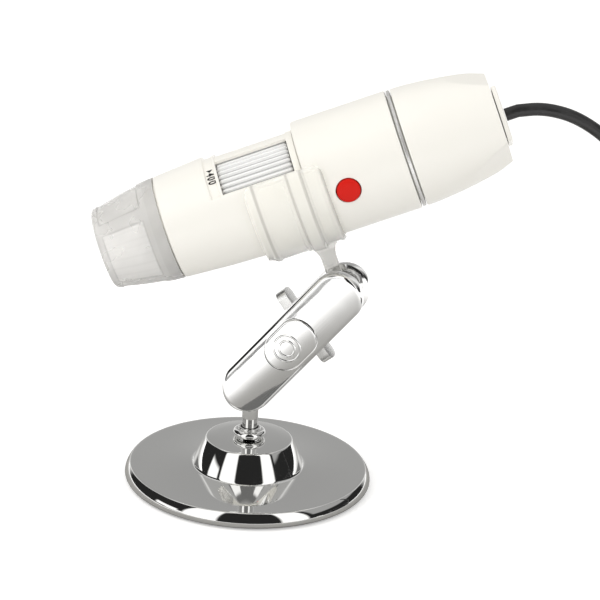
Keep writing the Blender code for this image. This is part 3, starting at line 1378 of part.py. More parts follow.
def make_plug(scope_frame, cord_end, out):
    """The plug at the cable's end: a ribbed neck and body, a metal shell and its tongue."""
    inverse = world_of(scope_frame).inverted()
    side = Vector((0, 0, 1)).cross(out)
    axes = Matrix((out, side, Vector((0, 0, 1)))).transposed().to_4x4()
    place = Matrix.Translation(cord_end) @ axes

    neck_end = GAP + PLUG_NECK_LENGTH
    neck = [(GAP, CORD_RADIUS + PLUG_NECK_RIB_DEPTH)]
    for k in range(PLUG_NECK_RIBS):
        for share in PLUG_RIB_CREST_SHARES + PLUG_RIB_FOOT_SHARES:
            part = (k + share) / PLUG_NECK_RIBS
            radius = CORD_RADIUS + (PLUG_NECK_RADIUS - CORD_RADIUS) * part
            if share in PLUG_RIB_CREST_SHARES:
                radius += PLUG_NECK_RIB_DEPTH
            neck.append((GAP + PLUG_NECK_LENGTH * part, radius))
    neck.append((neck_end + OVERRUN, PLUG_NECK_RADIUS))
    solid = moved(turned_solid(neck, SMALL_FACES, about_x), place)
    body = piece("usb_overmould", solid, BLACK, scope_frame)
    body.matrix_parent_inverse = inverse

    body_end = neck_end + PLUG_LENGTH
    taper = PLUG_ROUND
    sections = (
        (neck_end, PLUG_WIDTH - 2 * taper, PLUG_HEIGHT - taper),
        (neck_end + taper, PLUG_WIDTH, PLUG_HEIGHT),
        (body_end, PLUG_WIDTH, PLUG_HEIGHT),
    )
    loops = []
    for x, width, height in sections:
        loops.append([(x, y, z) for y, z in rounded_rectangle(width, height, PLUG_ROUND, 4)])
    join(body, moved(skinned(loops), place))
    body.modifiers[-1].object.matrix_parent_inverse = inverse
    panel = (
        neck_end + taper + PLUG_PANEL_INSET,
        body_end - PLUG_PANEL_INSET,
        PLUG_WIDTH / 2 - PLUG_ROUND - PLUG_PANEL_DEPTH,
        PLUG_HEIGHT / 2 - PLUG_PANEL_DEPTH,
    )
    low = (panel[0], -panel[2], panel[3])
    high = (panel[1], panel[2], PLUG_HEIGHT / 2 + OVERRUN)
    cut(body, moved(box(low, high), place))
    body.modifiers[-1].object.matrix_parent_inverse = inverse

    start = body_end + GAP
    end = start + USB_LENGTH
    rings = []
    solid = bmesh.new()
    outer = rounded_rectangle(USB_WIDTH, USB_HEIGHT, USB_WALL, 2)
    hollow = rounded_rectangle(USB_WIDTH - 2 * USB_WALL, USB_HEIGHT - 2 * USB_WALL, USB_WALL / 2, 2)
    for x, outline in ((start, outer), (end, outer), (end, hollow), (start, hollow)):
        rings.append([solid.verts.new((x, y, z)) for y, z in outline])
    for ring, other in zip(rings, rings[1:] + rings[:1]):
        for k in range(len(ring)):
            nxt = (k + 1) % len(ring)
            solid.faces.new([ring[k], ring[nxt], other[nxt], other[k]])
    shell = piece("usb_shell", moved(solid, place), STEEL, scope_frame)
    shell.matrix_parent_inverse = inverse

    half_width = USB_WIDTH / 2 - USB_WALL - GAP
    tongue_low = -USB_HEIGHT / 2 + USB_WALL + GAP
    low = (start, -half_width, tongue_low)
    high = (end - TONGUE_SETBACK, half_width, tongue_low + TONGUE_HEIGHT)
    tongue = piece("usb_tongue", moved(box(low, high), place), DARK, scope_frame)
    tongue.matrix_parent_inverse = inverse


def main():
    clear_scene()
    make_base()
    make_stem()
    arm_frame = frame("arm_pivot", None, (0, 0, BALL_HEIGHT), (0, -ARM_ELEVATION, 0))
    swivel_frame = frame("swivel_axis", None, (0, 0, BALL_HEIGHT))
    ball("lower_ball", swivel_frame, -1)
    make_arm(arm_frame)
    head_frame = frame("head_pivot", arm_frame, (ARM_SPACING, 0, 0), (0, ARM_ELEVATION - HEAD_LEAN, 0))
    ball("upper_ball", head_frame, 1)
    clip_frame = frame("clip_axis", head_frame, (0, 0, HEAD_HEIGHT), (0, 0, HEAD_SWIVEL))
    make_clip(clip_frame)
    scope_frame = frame("scope_axis", clip_frame, (0, 0, 0), (SCOPE_ROLL, 0, 0))
    make_hood(scope_frame)
    make_barrel(scope_frame)
    make_wheel(scope_frame)
    make_focus_train(scope_frame)
    make_housing(scope_frame)
    make_button(scope_frame)
    make_rear(scope_frame)
    make_cable(scope_frame)


main()
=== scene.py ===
"""Looks of the digital microscope on its ball-jointed stand.

Each sub-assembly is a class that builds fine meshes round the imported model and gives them
their finishes. Sizes are millimetres in the frame of the sub-assembly, whose place comes
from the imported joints. Studio holds the floor, the light and the camera.
"""

from __future__ import annotations

import json
import logging
import math
from collections.abc import Callable, Sequence
from dataclasses import dataclass, field, replace
from enum import Enum

import bmesh
import bpy
from mathutils import Matrix, Vector

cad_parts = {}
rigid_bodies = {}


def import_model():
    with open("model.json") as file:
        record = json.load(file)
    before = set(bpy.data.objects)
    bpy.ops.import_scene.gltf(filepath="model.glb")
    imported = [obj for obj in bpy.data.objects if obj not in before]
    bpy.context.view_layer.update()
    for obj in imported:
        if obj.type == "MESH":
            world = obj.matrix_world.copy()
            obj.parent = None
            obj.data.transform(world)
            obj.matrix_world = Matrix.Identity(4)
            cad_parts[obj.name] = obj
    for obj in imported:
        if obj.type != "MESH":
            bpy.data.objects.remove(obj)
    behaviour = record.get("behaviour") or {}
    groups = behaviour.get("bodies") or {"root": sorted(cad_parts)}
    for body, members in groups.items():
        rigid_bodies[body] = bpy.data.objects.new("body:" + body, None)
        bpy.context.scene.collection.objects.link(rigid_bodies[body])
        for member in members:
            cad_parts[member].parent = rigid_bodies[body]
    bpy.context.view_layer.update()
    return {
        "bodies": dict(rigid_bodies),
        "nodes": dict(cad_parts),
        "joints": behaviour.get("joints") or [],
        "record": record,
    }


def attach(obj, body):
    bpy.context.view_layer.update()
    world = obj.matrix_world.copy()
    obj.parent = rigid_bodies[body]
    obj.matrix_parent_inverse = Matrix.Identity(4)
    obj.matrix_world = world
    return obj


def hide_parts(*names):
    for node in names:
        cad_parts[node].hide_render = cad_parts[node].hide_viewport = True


LOG = logging.getLogger("microscope")

MM = 0.001
GAP = 0.3
FINE = 0.02
ROUND = 128
SMALL_ROUND = 48

Pair = tuple[float, float]
Triple = tuple[float, float, float]
Profile = list[Pair]
Solid = bmesh.types.BMesh
Socket = bpy.types.NodeSocket
Surface = Callable[[float, float], float]


class Axis(Enum):
    """The local axis that a turned piece goes round."""

    X = "x"
    Y = "y"
    Z = "z"

    def point(self, along: float, radius: float, angle: float) -> Vector:
        """Gives the point at a place along the axis, a radius and an angle.

        Args:
            along: Distance along the axis.
            radius: Distance from the axis.
            angle: Angle in radians; about X it counts from +Z towards -Y.

        Returns:
            The point in the same frame.
        """
        side, top = radius * math.sin(angle), radius * math.cos(angle)
        if self is Axis.X:
            return Vector((along, -side, top))
        if self is Axis.Y:
            return Vector((side, along, top))
        return Vector((top, side, along))


def smooth_step(low: float, high: float, value: float) -> float:
    """Rises smoothly from 0 at low to 1 at high."""
    share = min(max((value - low) / (high - low), 0.0), 1.0)
    return share * share * (3 - 2 * share)


def softened(profile: Profile, radius: float, steps: int = 4, closed: bool = False) -> Profile:
    """Rounds the sharp corners of a profile.

    Args:
        profile: Its points.
        radius: How far the rounding reaches from a corner, at most.
        steps: Points in each rounding, less one.
        closed: Whether the last point joins the first.

    Returns:
        The profile with rounded corners; its ends stay if it is open.
    """
    points = [Vector(point) for point in profile]
    result: Profile = []
    count = len(points)
    for k, corner in enumerate(points):
        if not closed and k in (0, count - 1):
            result.append(tuple(corner))
            continue
        before, after = points[k - 1] - corner, points[(k + 1) % count] - corner
        if before.length == 0 or after.length == 0 or math.pi - before.angle(after) < math.radians(14):
            result.append(tuple(corner))
            continue
        reach = min(radius, before.length * 0.45, after.length * 0.45)
        start = corner + before.normalized() * reach
        end = corner + after.normalized() * reach
        for step in range(steps + 1):
            share = step / steps
            point = start * (1 - share) ** 2 + corner * 2 * share * (1 - share) + end * share**2
            result.append(tuple(point))
    return result


def arc(centre: Pair, radii: Pair, start: float, end: float, steps: int) -> Profile:
    """Gives points on an ellipse's arc.

    Args:
        centre: The ellipse's centre.
        radii: Its radii along both directions.
        start: Angle of the first point in radians; at 0 the second value is largest.
        end: Angle of the last point.
        steps: Number of points, less one.

    Returns:
        The points.
    """
    points: Profile = []
    for k in range(steps + 1):
        angle = start + (end - start) * k / steps
        points.append((centre[0] + radii[0] * math.sin(angle), centre[1] + radii[1] * math.cos(angle)))
    return points


def reading(profile: Profile) -> Callable[[float], float]:
    """Gives a function that reads a profile's radius at a place along it."""

    def read(place: float) -> float:
        """Gives the radius at one place."""
        if place <= profile[0][0]:
            return profile[0][1]
        for (t0, r0), (t1, r1) in zip(profile, profile[1:]):
            if place <= t1:
                share = 0.0 if t1 == t0 else (place - t0) / (t1 - t0)
                return r0 + (r1 - r0) * share
        return profile[-1][1]

    return read


def quads(solid: Solid, ring: Sequence, other: Sequence) -> None:
    """Joins two rows of equally many vertices with faces."""
    for k in range(len(ring)):
        nxt = (k + 1) % len(ring)
        solid.faces.new([ring[k], ring[nxt], other[nxt], other[k]])


def lathe(profile: Profile, axis: Axis, segments: int = ROUND, bored: bool = False) -> Solid:
    """Turns a profile of (along, radius) points into a solid.

    Args:
        profile: The points; a radius of 0 closes the end on the axis.
        axis: What it turns about.
        segments: Faces round it.
        bored: Whether the profile goes round a bore and closes on itself.

    Returns:
        The solid.
    """
    solid = bmesh.new()
    rings = []
    for along, radius in profile:
        count = segments if radius > 0 else 1
        turns = [math.tau * k / segments for k in range(count)]
        rings.append([solid.verts.new(axis.point(along, radius, turn)) for turn in turns])
    for ring in (rings[0], rings[-1]):
        if len(ring) > 1 and not bored:
            solid.faces.new(ring)
    for ring, other in zip(rings, rings[1:] + (rings[:1] if bored else [])):
        for k in range(segments):
            nxt = k + 1
            corners = [
                ring[k % len(ring)],
                ring[nxt % len(ring)],
                other[nxt % len(other)],
                other[k % len(other)],
            ]
            solid.faces.new(list(dict.fromkeys(corners)))
    return solid


def loft(loops: Sequence[Sequence[Vector]]) -> Solid:
    """Skins a stack of loops.

    Args:
        loops: Loops of equally many points.

    Returns:
        The solid, with a cap at each end.
    """
    solid = bmesh.new()
    rings = [[solid.verts.new(point) for point in loop] for loop in loops]
    for ring, other in zip(rings, rings[1:]):
        quads(solid, ring, other)
    solid.faces.new(rings[0])
    solid.faces.new(rings[-1])
    return solid


@dataclass
class Wall:
    """A bent wall about the X axis, between an outer and an inner surface.

    Attributes:
        places: Places along the axis.
        angles: Angles round it; a full wall joins the last to the first.
        outer: Outer radius at a place and an angle.
        inner: Inner radius at a place and an angle.
        is_open: Whether the wall is missing at a place and an angle.
        bend: Gives the angle that a column has at a place.
        full: Whether the wall goes all the way round.
    """

    places: list[float]
    angles: list[float]
    outer: Surface
    inner: Surface
    is_open: Callable[[float, float], bool] = lambda place, angle: False
    bend: Surface = lambda place, angle: angle
    full: bool = True

    def build(self) -> Solid:
        """Builds the wall as one closed mesh."""
        solid = bmesh.new()
        outside, inside = [], []
        for place in self.places:
            turned = [self.bend(place, angle) for angle in self.angles]
            outside.append([solid.verts.new(Axis.X.point(place, self.outer(place, a), a)) for a in turned])
            inside.append([solid.verts.new(Axis.X.point(place, self.inner(place, a), a)) for a in turned])
        rows, columns = len(self.places) - 1, len(self.angles)
        cells = columns if self.full else columns - 1

        def solid_at(row: int, column: int) -> bool:
            """Tells whether a place of the grid is part of the wall."""
            if not 0 <= row < rows:
                return False
            if not self.full and not 0 <= column < cells:
                return False
            column %= columns
            place = (self.places[row] + self.places[row + 1]) / 2
            step = (self.angles[(column + 1) % columns] - self.angles[column]) % math.tau
            return not self.is_open(place, self.angles[column] + step / 2)

        for row in range(rows + 1):
            for column in range(columns):
                nxt = (column + 1) % columns
                if column < cells and solid_at(row, column):
                    for skin in (outside, inside):
                        face = [skin[row][column], skin[row][nxt], skin[row + 1][nxt], skin[row + 1][column]]
                        solid.faces.new(face)
                if column < cells and solid_at(row, column) != solid_at(row - 1, column):
                    edge = [outside[row][column], outside[row][nxt], inside[row][nxt], inside[row][column]]
                    solid.faces.new(edge)
                if row < rows and solid_at(row, column) != solid_at(row, column - 1):
                    top, low = outside[row][column], outside[row + 1][column]
                    solid.faces.new([top, low, inside[row + 1][column], inside[row][column]])
        loose = [vertex for vertex in solid.verts if not vertex.link_faces]
        bmesh.ops.delete(solid, geom=loose, context="VERTS")
        return solid


def even_angles(count: int, extra: Sequence[float] = ()) -> list[float]:
    """Spreads angles round a full turn.

    Args:
        count: Number of even angles.
        extra: More angles in degrees, which are put in on both sides of zero.

    Returns:
        The angles in radians from -pi, without even ones that lie close to an extra one.
    """
    angles = [-math.pi + math.tau * k / count for k in range(count)]
    close = math.tau / count / 3
    wanted = [math.radians(side * value) for value in extra for side in (-1, 1)]
    kept = [a for a in angles if all(abs(a - value) > close for value in wanted)]
    return sorted(kept + wanted)


def filled_places(profile: Profile, step: float) -> list[float]:
    """Gives the places of a profile's points, with more put in.

    Args:
        profile: The points.
        step: The largest gap that may stay.

    Returns:
        The places in order.
    """
    places = [profile[0][0]]
    for (t0, _), (t1, _) in zip(profile, profile[1:]):
        if t1 - t0 < FINE / 2:
            continue
        count = max(1, math.ceil((t1 - t0) / step))
        places += [t0 + (t1 - t0) * k / count for k in range(1, count + 1)]
    return places


def stadium(spacing: float, half_width: float, steps: int) -> list[Pair]:
    """An outline round two centres at 0 and spacing along the first axis."""
    points = []
    for centre, start in ((spacing, -math.pi / 2), (0.0, math.pi / 2)):
        for k in range(steps + 1):
            angle = start + math.pi * k / steps
            points.append((centre + half_width * math.cos(angle), half_width * math.sin(angle)))
    return points


def rounded_rectangle(width: float, height: float, corner: float, steps: int = 6) -> list[Pair]:
    """Gives an outline centred on zero.

    Args:
        width: Its size along the first axis.
        height: Its size along the second one.
        corner: Radius of its corners.
        steps: Points in each corner, less one.

    Returns:
        The outline, anticlockwise.
    """
    points = []
    across, up = width / 2 - corner, height / 2 - corner
    for quarter, (sx, sy) in enumerate(((1, 1), (-1, 1), (-1, -1), (1, -1))):
        for k in range(steps + 1):
            angle = math.pi / 2 * (quarter + k / steps)
            points.append((sx * across + corner * math.cos(angle), sy * up + corner * math.sin(angle)))
    return points


def box(low: Vector, high: Vector) -> Solid:
    """A box between two corners."""
    corners = ((low[0], low[1]), (high[0], low[1]), (high[0], high[1]), (low[0], high[1]))
    return loft([[Vector((x, y, z)) for x, y in corners] for z in (low[2], high[2])])


def shifted(solid: Solid, matrix: Matrix) -> Solid:
    """Moves a solid by a matrix and gives it back."""
    bmesh.ops.transform(solid, matrix=matrix, verts=solid.verts)
    return solid


class Shader:
    """A node tree in the making, with short ways to add and link nodes."""

    def __init__(self, tree: bpy.types.NodeTree) -> None:
        """Starts on a tree."""
        self.tree = tree

    def add(self, kind: str, settings: dict[str, object] | None = None, **inputs: object) -> bpy.types.Node:
        """Adds a node.

        Args:
            kind: The node's type, without its ShaderNode prefix.
            settings: Properties to set on the node.
            **inputs: Values or sockets for its inputs, with _ for a space in a name.

        Returns:
            The node.
        """
        node = self.tree.nodes.new("ShaderNode" + kind)
        for name, value in (settings or {}).items():
            setattr(node, name, value)
        for name, value in inputs.items():
            socket = node.inputs[int(name[1:])] if name[0] == "i" and name[1:].isdigit() else None
            socket = socket or node.inputs[name.replace("_", " ")]
            self.feed(socket, value)
        return node

    def feed(self, socket: Socket, value: object) -> None:
        """Links an input to an output, or sets its value.

        Args:
            socket: The input.
            value: An output socket or a plain value.
        """
        if isinstance(value, Socket):
            self.tree.links.new(value, socket)
        else:
            socket.default_value = value

    def maths(self, operation: str, *values: object) -> Socket:
        """Adds a Math node and gives its output."""
        node = self.tree.nodes.new("ShaderNodeMath")
        node.operation = operation
        for socket, value in zip(node.inputs, values):
            self.feed(socket, value)
        return node.outputs[0]

    def noise(self, vector: Socket, scale: object, detail: float = 3.0) -> Socket:
        """Adds a noise texture and gives its factor."""
        return self.add("TexNoise", Vector=vector, Scale=scale, Detail=detail).outputs[0]

    def ranged(self, value: object, low: float, high: float, to_low: object, to_high: object) -> Socket:
        """Maps a value smoothly from one range to another."""
        node = self.add("MapRange", {"interpolation_type": "SMOOTHSTEP"}, i0=value, i1=low, i2=high)
        self.feed(node.inputs[3], to_low)
        self.feed(node.inputs[4], to_high)
        return node.outputs[0]

    def mixed(self, share: object, first: object, second: object) -> Socket:
        """Mixes two colours."""
        node = self.add("Mix", {"data_type": "RGBA"})
        self.feed(node.inputs[0], share)
        self.feed(node.inputs[6], first)
        self.feed(node.inputs[7], second)
        return node.outputs[2]


class Effect(Enum):
    """The shared effects; each is one shader node group."""

    MOULDING = "moulding_life"
    HANDLING = "handling_marks"
    BRUSHING = "brushed_grain"

    def group(self) -> bpy.types.NodeTree:
        """Gives the effect's node group, and builds it the first time."""
        if self.value in bpy.data.node_groups:
            return bpy.data.node_groups[self.value]
        tree = bpy.data.node_groups.new(self.value, "ShaderNodeTree")
        for name, kind, start in (
            ("Colour", "NodeSocketColor", (0.8, 0.8, 0.8, 1.0)),
            ("Tint", "NodeSocketColor", (0.5, 0.5, 0.5, 1.0)),
            ("Amount", "NodeSocketFloat", 0.1),
            ("Roughness", "NodeSocketFloat", 0.3),
            ("Spread", "NodeSocketFloat", 0.1),
            ("Scale", "NodeSocketFloat", 100.0),
        ):
            tree.interface.new_socket(name, in_out="INPUT", socket_type=kind).default_value = start
        for name, kind in (
            ("Colour", "NodeSocketColor"),
            ("Roughness", "NodeSocketFloat"),
            ("Height", "NodeSocketFloat"),
        ):
            tree.interface.new_socket(name, in_out="OUTPUT", socket_type=kind)
        shader = Shader(tree)
        given = tree.nodes.new("NodeGroupInput").outputs
        result = tree.nodes.new("NodeGroupOutput").inputs
        where = shader.add("TexCoord").outputs["Object"]
        builder = {
            Effect.MOULDING: self._moulding,
            Effect.HANDLING: self._handling,
            Effect.BRUSHING: self._brushing,
        }[self]
        mask, height = builder(shader, where, given["Scale"])
        cover = shader.maths("MULTIPLY", mask, given["Amount"])
        shader.feed(result["Colour"], shader.mixed(cover, given[0], given[1]))
        spread = shader.maths("MULTIPLY", mask, given["Spread"])
        shader.feed(result["Roughness"], shader.maths("ADD", given["Roughness"], spread))
        shader.feed(result["Height"], height)
        return tree

    @staticmethod
    def _moulding(shader: Shader, where: object, scale: object) -> tuple[object, object]:
        """Draws slow flow shades and a fine even grain, as on moulded plastic.

        Args:
            shader: The group's nodes.
            where: Coordinates.
            scale: The effect's scale.

        Returns:
            The mask and the height.
        """
        flow = shader.noise(where, scale, 2.0)
        grain = shader.noise(where, shader.maths("MULTIPLY", scale, 24.0), 2.0)
        mask = shader.ranged(flow, 0.35, 0.7, 0.0, 1.0)
        return mask, shader.maths("ADD", shader.maths("MULTIPLY", grain, 0.35), flow)

    @staticmethod
    def _handling(shader: Shader, where: object, scale: object) -> tuple[object, object]:
        """Draws finger smears and faint waves, as on plated metal.

        Args:
            shader: The group's nodes.
            where: Coordinates.
            scale: The effect's scale.

        Returns:
            The mask and the height.
        """
        smear = shader.noise(where, scale, 6.0)
        wave = shader.noise(where, shader.maths("MULTIPLY", scale, 0.6), 1.0)
        mask = shader.ranged(smear, 0.52, 0.75, 0.0, 1.0)
        return mask, shader.maths("ADD", wave, shader.maths("MULTIPLY", mask, 0.02))

    @staticmethod
    def _brushing(shader: Shader, where: object, scale: object) -> tuple[object, object]:
        """Draws fine lines along one direction, as on drawn or ground metal.

        Args:
            shader: The group's nodes.
            where: Coordinates.
            scale: The effect's scale.

        Returns:
            The mask and the height.
        """
        stretch = shader.add("Mapping", Vector=where, Scale=(0.08, 1.0, 1.0)).outputs[0]
        lines = shader.noise(stretch, shader.maths("MULTIPLY", scale, 9.0), 4.0)
        return shader.ranged(lines, 0.4, 0.7, 0.0, 1.0), lines


@dataclass(frozen=True)
class Finish:
    """One surface finish, made as a node material.

    Attributes:
        name: The material's name.
        slot: The record's material slot.
        colour: Linear base colour.
        roughness: Plain roughness, before the effect.
        metallic: Metallic value.
        effect: The effect that varies the surface.
        tint: The colour that the effect mixes in.
        amount: How much of the tint shows.
        spread: What the effect adds to the roughness.
        scale: The effect's scale, per metre.
        bump: Height of the effect's relief, in millimetres.
        transmission: How much light passes through.
        ior: Index of refraction.
        coat: Weight of a clear coat.
    """

    name: str
    slot: str
    colour: Triple
    roughness: float = 0.35
    metallic: float = 0.0
    effect: Effect = Effect.MOULDING
    tint: Triple = (0.5, 0.5, 0.5)
    amount: float = 0.06
    spread: float = 0.06
    scale: float = 90.0
    bump: float = 0.01
    transmission: float = 0.0
    ior: float = 1.46
    coat: float = 0.0

    def material(self) -> bpy.types.Material:
        """Gives the finish's material, and builds it the first time."""
        if self.name in bpy.data.materials:
            return bpy.data.materials[self.name]
        made = bpy.data.materials.new(self.name)
        made.use_nodes = True
        shader = Shader(made.node_tree)
        surface = made.node_tree.nodes["Principled BSDF"]
        life = shader.add("Group", {"node_tree": self.effect.group()})
        for name, value in (
            ("Colour", (*self.colour, 1.0)),
            ("Tint", (*self.tint, 1.0)),
            ("Amount", self.amount),
            ("Roughness", self.roughness),
            ("Spread", self.spread),
            ("Scale", self.scale),
        ):
            life.inputs[name].default_value = value
        bump = shader.add("Bump", Height=life.outputs["Height"])
        bump.inputs["Distance"].default_value = self.bump * MM
        bump.inputs["Strength"].default_value = 1.0
        shader.feed(surface.inputs["Base Color"], self.pattern(shader, life.outputs["Colour"]))
        shader.feed(surface.inputs["Roughness"], life.outputs["Roughness"])
        shader.feed(surface.inputs["Normal"], bump.outputs[0])
        surface.inputs["Metallic"].default_value = self.metallic
        surface.inputs["Transmission Weight"].default_value = self.transmission
        surface.inputs["IOR"].default_value = self.ior
        surface.inputs["Coat Weight"].default_value = self.coat
        return made

    def pattern(self, shader: Shader, colour: Socket) -> Socket:
        """Draws the finish's own pattern over its colour; a plain finish has none."""
        return colour

    def dress(self, obj: bpy.types.Object) -> None:
        """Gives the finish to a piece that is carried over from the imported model."""
        obj.data.materials.clear()
        obj.data.materials.append(self.material())


@dataclass(frozen=True)
class FramedFinish(Finish):
    """A finish whose pattern follows the frame of its piece.

    Attributes:
        place: Where the frame is, in metres.
        turn: How it is turned, as Euler angles.
    """

    place: Triple = (0.0, 0.0, 0.0)
    turn: Triple = (0.0, 0.0, 0.0)

    def fitted(self, frame: Matrix) -> Finish:
        """Gives the same finish for a piece in a frame."""
        turn = frame.to_3x3().normalized().to_euler()
        return replace(self, place=tuple(frame.translation), turn=tuple(turn))

    def local(self, shader: Shader) -> list[Socket]:
        """Gives the three coordinates in the frame, in millimetres."""
        where = shader.add(
            "Mapping", {"vector_type": "TEXTURE"},
            Vector=shader.add("TexCoord").outputs["Object"], Location=self.place, Rotation=self.turn,
        )
        parts = shader.add("SeparateXYZ", Vector=where.outputs[0])
        return [shader.maths("DIVIDE", part, MM) for part in parts.outputs]


@dataclass(frozen=True)
class ClipFinish(FramedFinish):
    """The clip's clear plastic, with painted shade in its stem, low on the ring near the stem and along its
    thick edges.

    Attributes:
        stem: Heights over the clip's axis at which the stem's painted shade is full and at which it ends.
        shade: Share of the colour that stays under the stem's painted shade.
        edges: Places of the edges along the axis.
        edge_shade: Share of the colour that stays under the painted shade at an edge.
    """

    stem: Pair = (-19.6, -18.4)
    shade: float = 0.58
    edges: tuple[float, ...] = (-12.4, -2.9, 0.8, 6.2)
    edge_shade: float = 0.66

    def pattern(self, shader: Shader, colour: Socket) -> Socket:
        """Paints shade on the stem, low on the ring near its foot and along the edges.

        Args:
            shader: The material's nodes.
            colour: The finish's colour.

        Returns:
            The darkened colour.
        """
        along, _, height = self.local(shader)
        # Painted shade in the stem.
        painted_shading = shader.ranged(height, *self.stem, self.shade, 1.0)
        # Painted shade on the lowest part of the ring.
        painted_shading = shader.maths("MINIMUM", painted_shading, shader.ranged(height, -17.9, -16.3, 0.8, 1.0))
        # Painted shade along each thick edge.
        for edge in self.edges:
            off = shader.maths("ABSOLUTE", shader.maths("SUBTRACT", along, edge))
            painted_shading = shader.maths("MINIMUM", painted_shading, shader.ranged(off, 0.15, 0.6, self.edge_shade, 1.0))
        # The dark colour that the painted shade mixes in.
        return shader.mixed(painted_shading, (0.2, 0.195, 0.18, 1.0), colour)


@dataclass(frozen=True)
class HoodFinish(FramedFinish):
    """The hood's clear plastic with painted light and shade: side panels painted lighter with streaks of
    painted light and shade, and painted shade along all borders, over the top and on the ring at the barrel.

    Attributes:
        panel: Front and rear end of the panels.
        half: Half of the angle of a panel, in degrees.
        outside: Share of the colour that stays outside the panels, under their painted shade.
        border: How much of it the painted shade along the borders takes away.
        ring: Share of the colour that stays under the painted shade of the ring at the barrel.
        streak: How much the painted light and dark streaks change it.
    """

    panel: Pair = (-54.5, -42.6)
    half: float = 36.6
    outside: float = 0.78
    border: float = 0.26
    ring: float = 0.7
    streak: float = 0.07

    def pattern(self, shader: Shader, colour: Socket) -> Socket:
        """Paints the panels' light, the shade along their borders and the ring's shade.

        Args:
            shader: The material's nodes.
            colour: The finish's colour.

        Returns:
            The colour with the pattern.
        """
        along, across, height = self.local(shader)
        angle = shader.maths("DEGREES", shader.maths("ARCTAN2", across, height))
        off = shader.maths("ABSOLUTE", shader.maths("WRAP", angle, 45.0, -45.0))
        low, high = self.panel
        inside = shader.maths("MULTIPLY", shader.ranged(off, self.half - 1.6, self.half + 1.6, 1.0, 0.0),
                              shader.ranged(along, low - 0.35, low + 0.35, 0.0, 1.0))
        inside = shader.maths("MULTIPLY", inside, shader.ranged(along, high - 0.35, high + 0.35, 1.0, 0.0))
        line = shader.maths("MULTIPLY", inside, shader.maths("SUBTRACT", 1.0, inside))
        # The top panel gets little of the painted light, so it stays in painted shade.
        side = shader.ranged(shader.maths("ABSOLUTE", angle), 40.0, 50.0, 0.1, 1.0)
        # Painted streaks of light and shade round the hood.
        waves = shader.maths("SINE", shader.maths("MULTIPLY", angle, math.tau / 11.0))
        ripple = shader.maths("SINE", shader.maths("MULTIPLY", angle, math.tau / 6.3))
        waves = shader.maths("ADD", waves, ripple)
        # Painted light in the side panels.
        gain = shader.maths("ADD", 1.0 - self.outside, shader.maths("MULTIPLY", waves, self.streak / 2))
        gain = shader.maths("MULTIPLY", shader.maths("MULTIPLY", gain, side), inside)
        painted_shading = shader.maths("ADD", self.outside, gain)
        # Painted shade along the panels' borders.
        painted_shading = shader.maths("SUBTRACT", painted_shading, shader.maths("MULTIPLY", line, 4.0 * self.border))
        # Painted shade on the ring at the barrel.
        painted_shading = shader.maths("MINIMUM", painted_shading, shader.ranged(along, high + 1.0, high + 1.8, 1.0, self.ring))
        # The dark colour that the painted shade mixes in.
        return shader.mixed(painted_shading, (0.25, 0.245, 0.235, 1.0), colour)


@dataclass(frozen=True)
class RibFinish(FramedFinish):
    """The focus wheel's finish, with painted shade down in the grooves between its ribs.

    Attributes:
        groove: Radii at which a groove's painted shade is full and at which it ends.
        shade: Share of the colour that stays under a groove's painted shade.
    """

    groove: Pair = (12.46, 12.7)
    shade: float = 0.6

    def pattern(self, shader: Shader, colour: Socket) -> Socket:
        """Paints shade into the grooves.

        Args:
            shader: The material's nodes.
            colour: The finish's colour.

        Returns:
            The darkened colour.
        """
        _, across, height = self.local(shader)
        squares = [shader.maths("MULTIPLY", value, value) for value in (across, height)]
        radius = shader.maths("SQRT", shader.maths("ADD", *squares))
        # Painted shade in the grooves, below the ribs' tops.
        painted_shading = shader.ranged(radius, *self.groove, self.shade, 1.0)
        # The dark colour that the painted shade mixes in.
        return shader.mixed(painted_shading, (0.05, 0.05, 0.055, 1.0), colour)


@dataclass(frozen=True)
class BoardFinish(Finish):
    """Solder mask with copper tracks under it."""

    def pattern(self, shader: Shader, colour: Socket) -> Socket:
        """Draws the tracks as the edges of square cells.

        Args:
            shader: The material's nodes.
            colour: The finish's colour.

        Returns:
            The colour with the tracks.
        """
        where = shader.add("TexCoord").outputs["Object"]
        pattern = {"distance": "MANHATTAN", "feature": "F1"}
        cells = shader.add("TexVoronoi", pattern, Vector=where, Scale=450.0)
        tracks = shader.ranged(cells.outputs["Distance"], 0.42, 0.5, 0.0, 0.6)
        return shader.mixed(tracks, colour, (0.06, 0.32, 0.14, 1.0))


@dataclass(frozen=True)
class LampFinish(Finish):
    """Clear resin with a yellow phosphor that shows through it."""

    def pattern(self, shader: Shader, colour: Socket) -> Socket:
        """Warms the resin in noisy patches of the yellow phosphor."""
        where = shader.add("TexCoord").outputs["Object"]
        return shader.mixed(shader.noise(where, 900.0, 1.0), colour, (0.95, 0.8, 0.25, 1.0))


CHROME = Finish(
    "chrome_plate", "base_chrome", (0.83, 0.83, 0.82), 0.035, 1.0, Effect.HANDLING,
    tint=(0.7, 0.7, 0.69), amount=0.12, spread=0.07, scale=70.0, bump=0.0,
)
ARM_CHROME = Finish(
    "cast_chrome", "arm_chrome", (0.87, 0.87, 0.865), 0.09, 1.0, Effect.HANDLING,
    tint=(0.78, 0.78, 0.78), amount=0.15, spread=0.05, scale=230.0, bump=0.05,
)
BALL_STEEL = Finish(
    "ground_steel", "ball_steel", (0.62, 0.61, 0.6), 0.16, 1.0, Effect.BRUSHING,
    tint=(0.45, 0.44, 0.43), amount=0.3, spread=0.15, scale=260.0, bump=0.004,
)
CAST_IRON = Finish(
    "cast_weight", "weight_iron", (0.09, 0.09, 0.095), 0.6, 0.8,
    tint=(0.2, 0.14, 0.1), amount=0.3, spread=0.2, scale=160.0, bump=0.15,
)
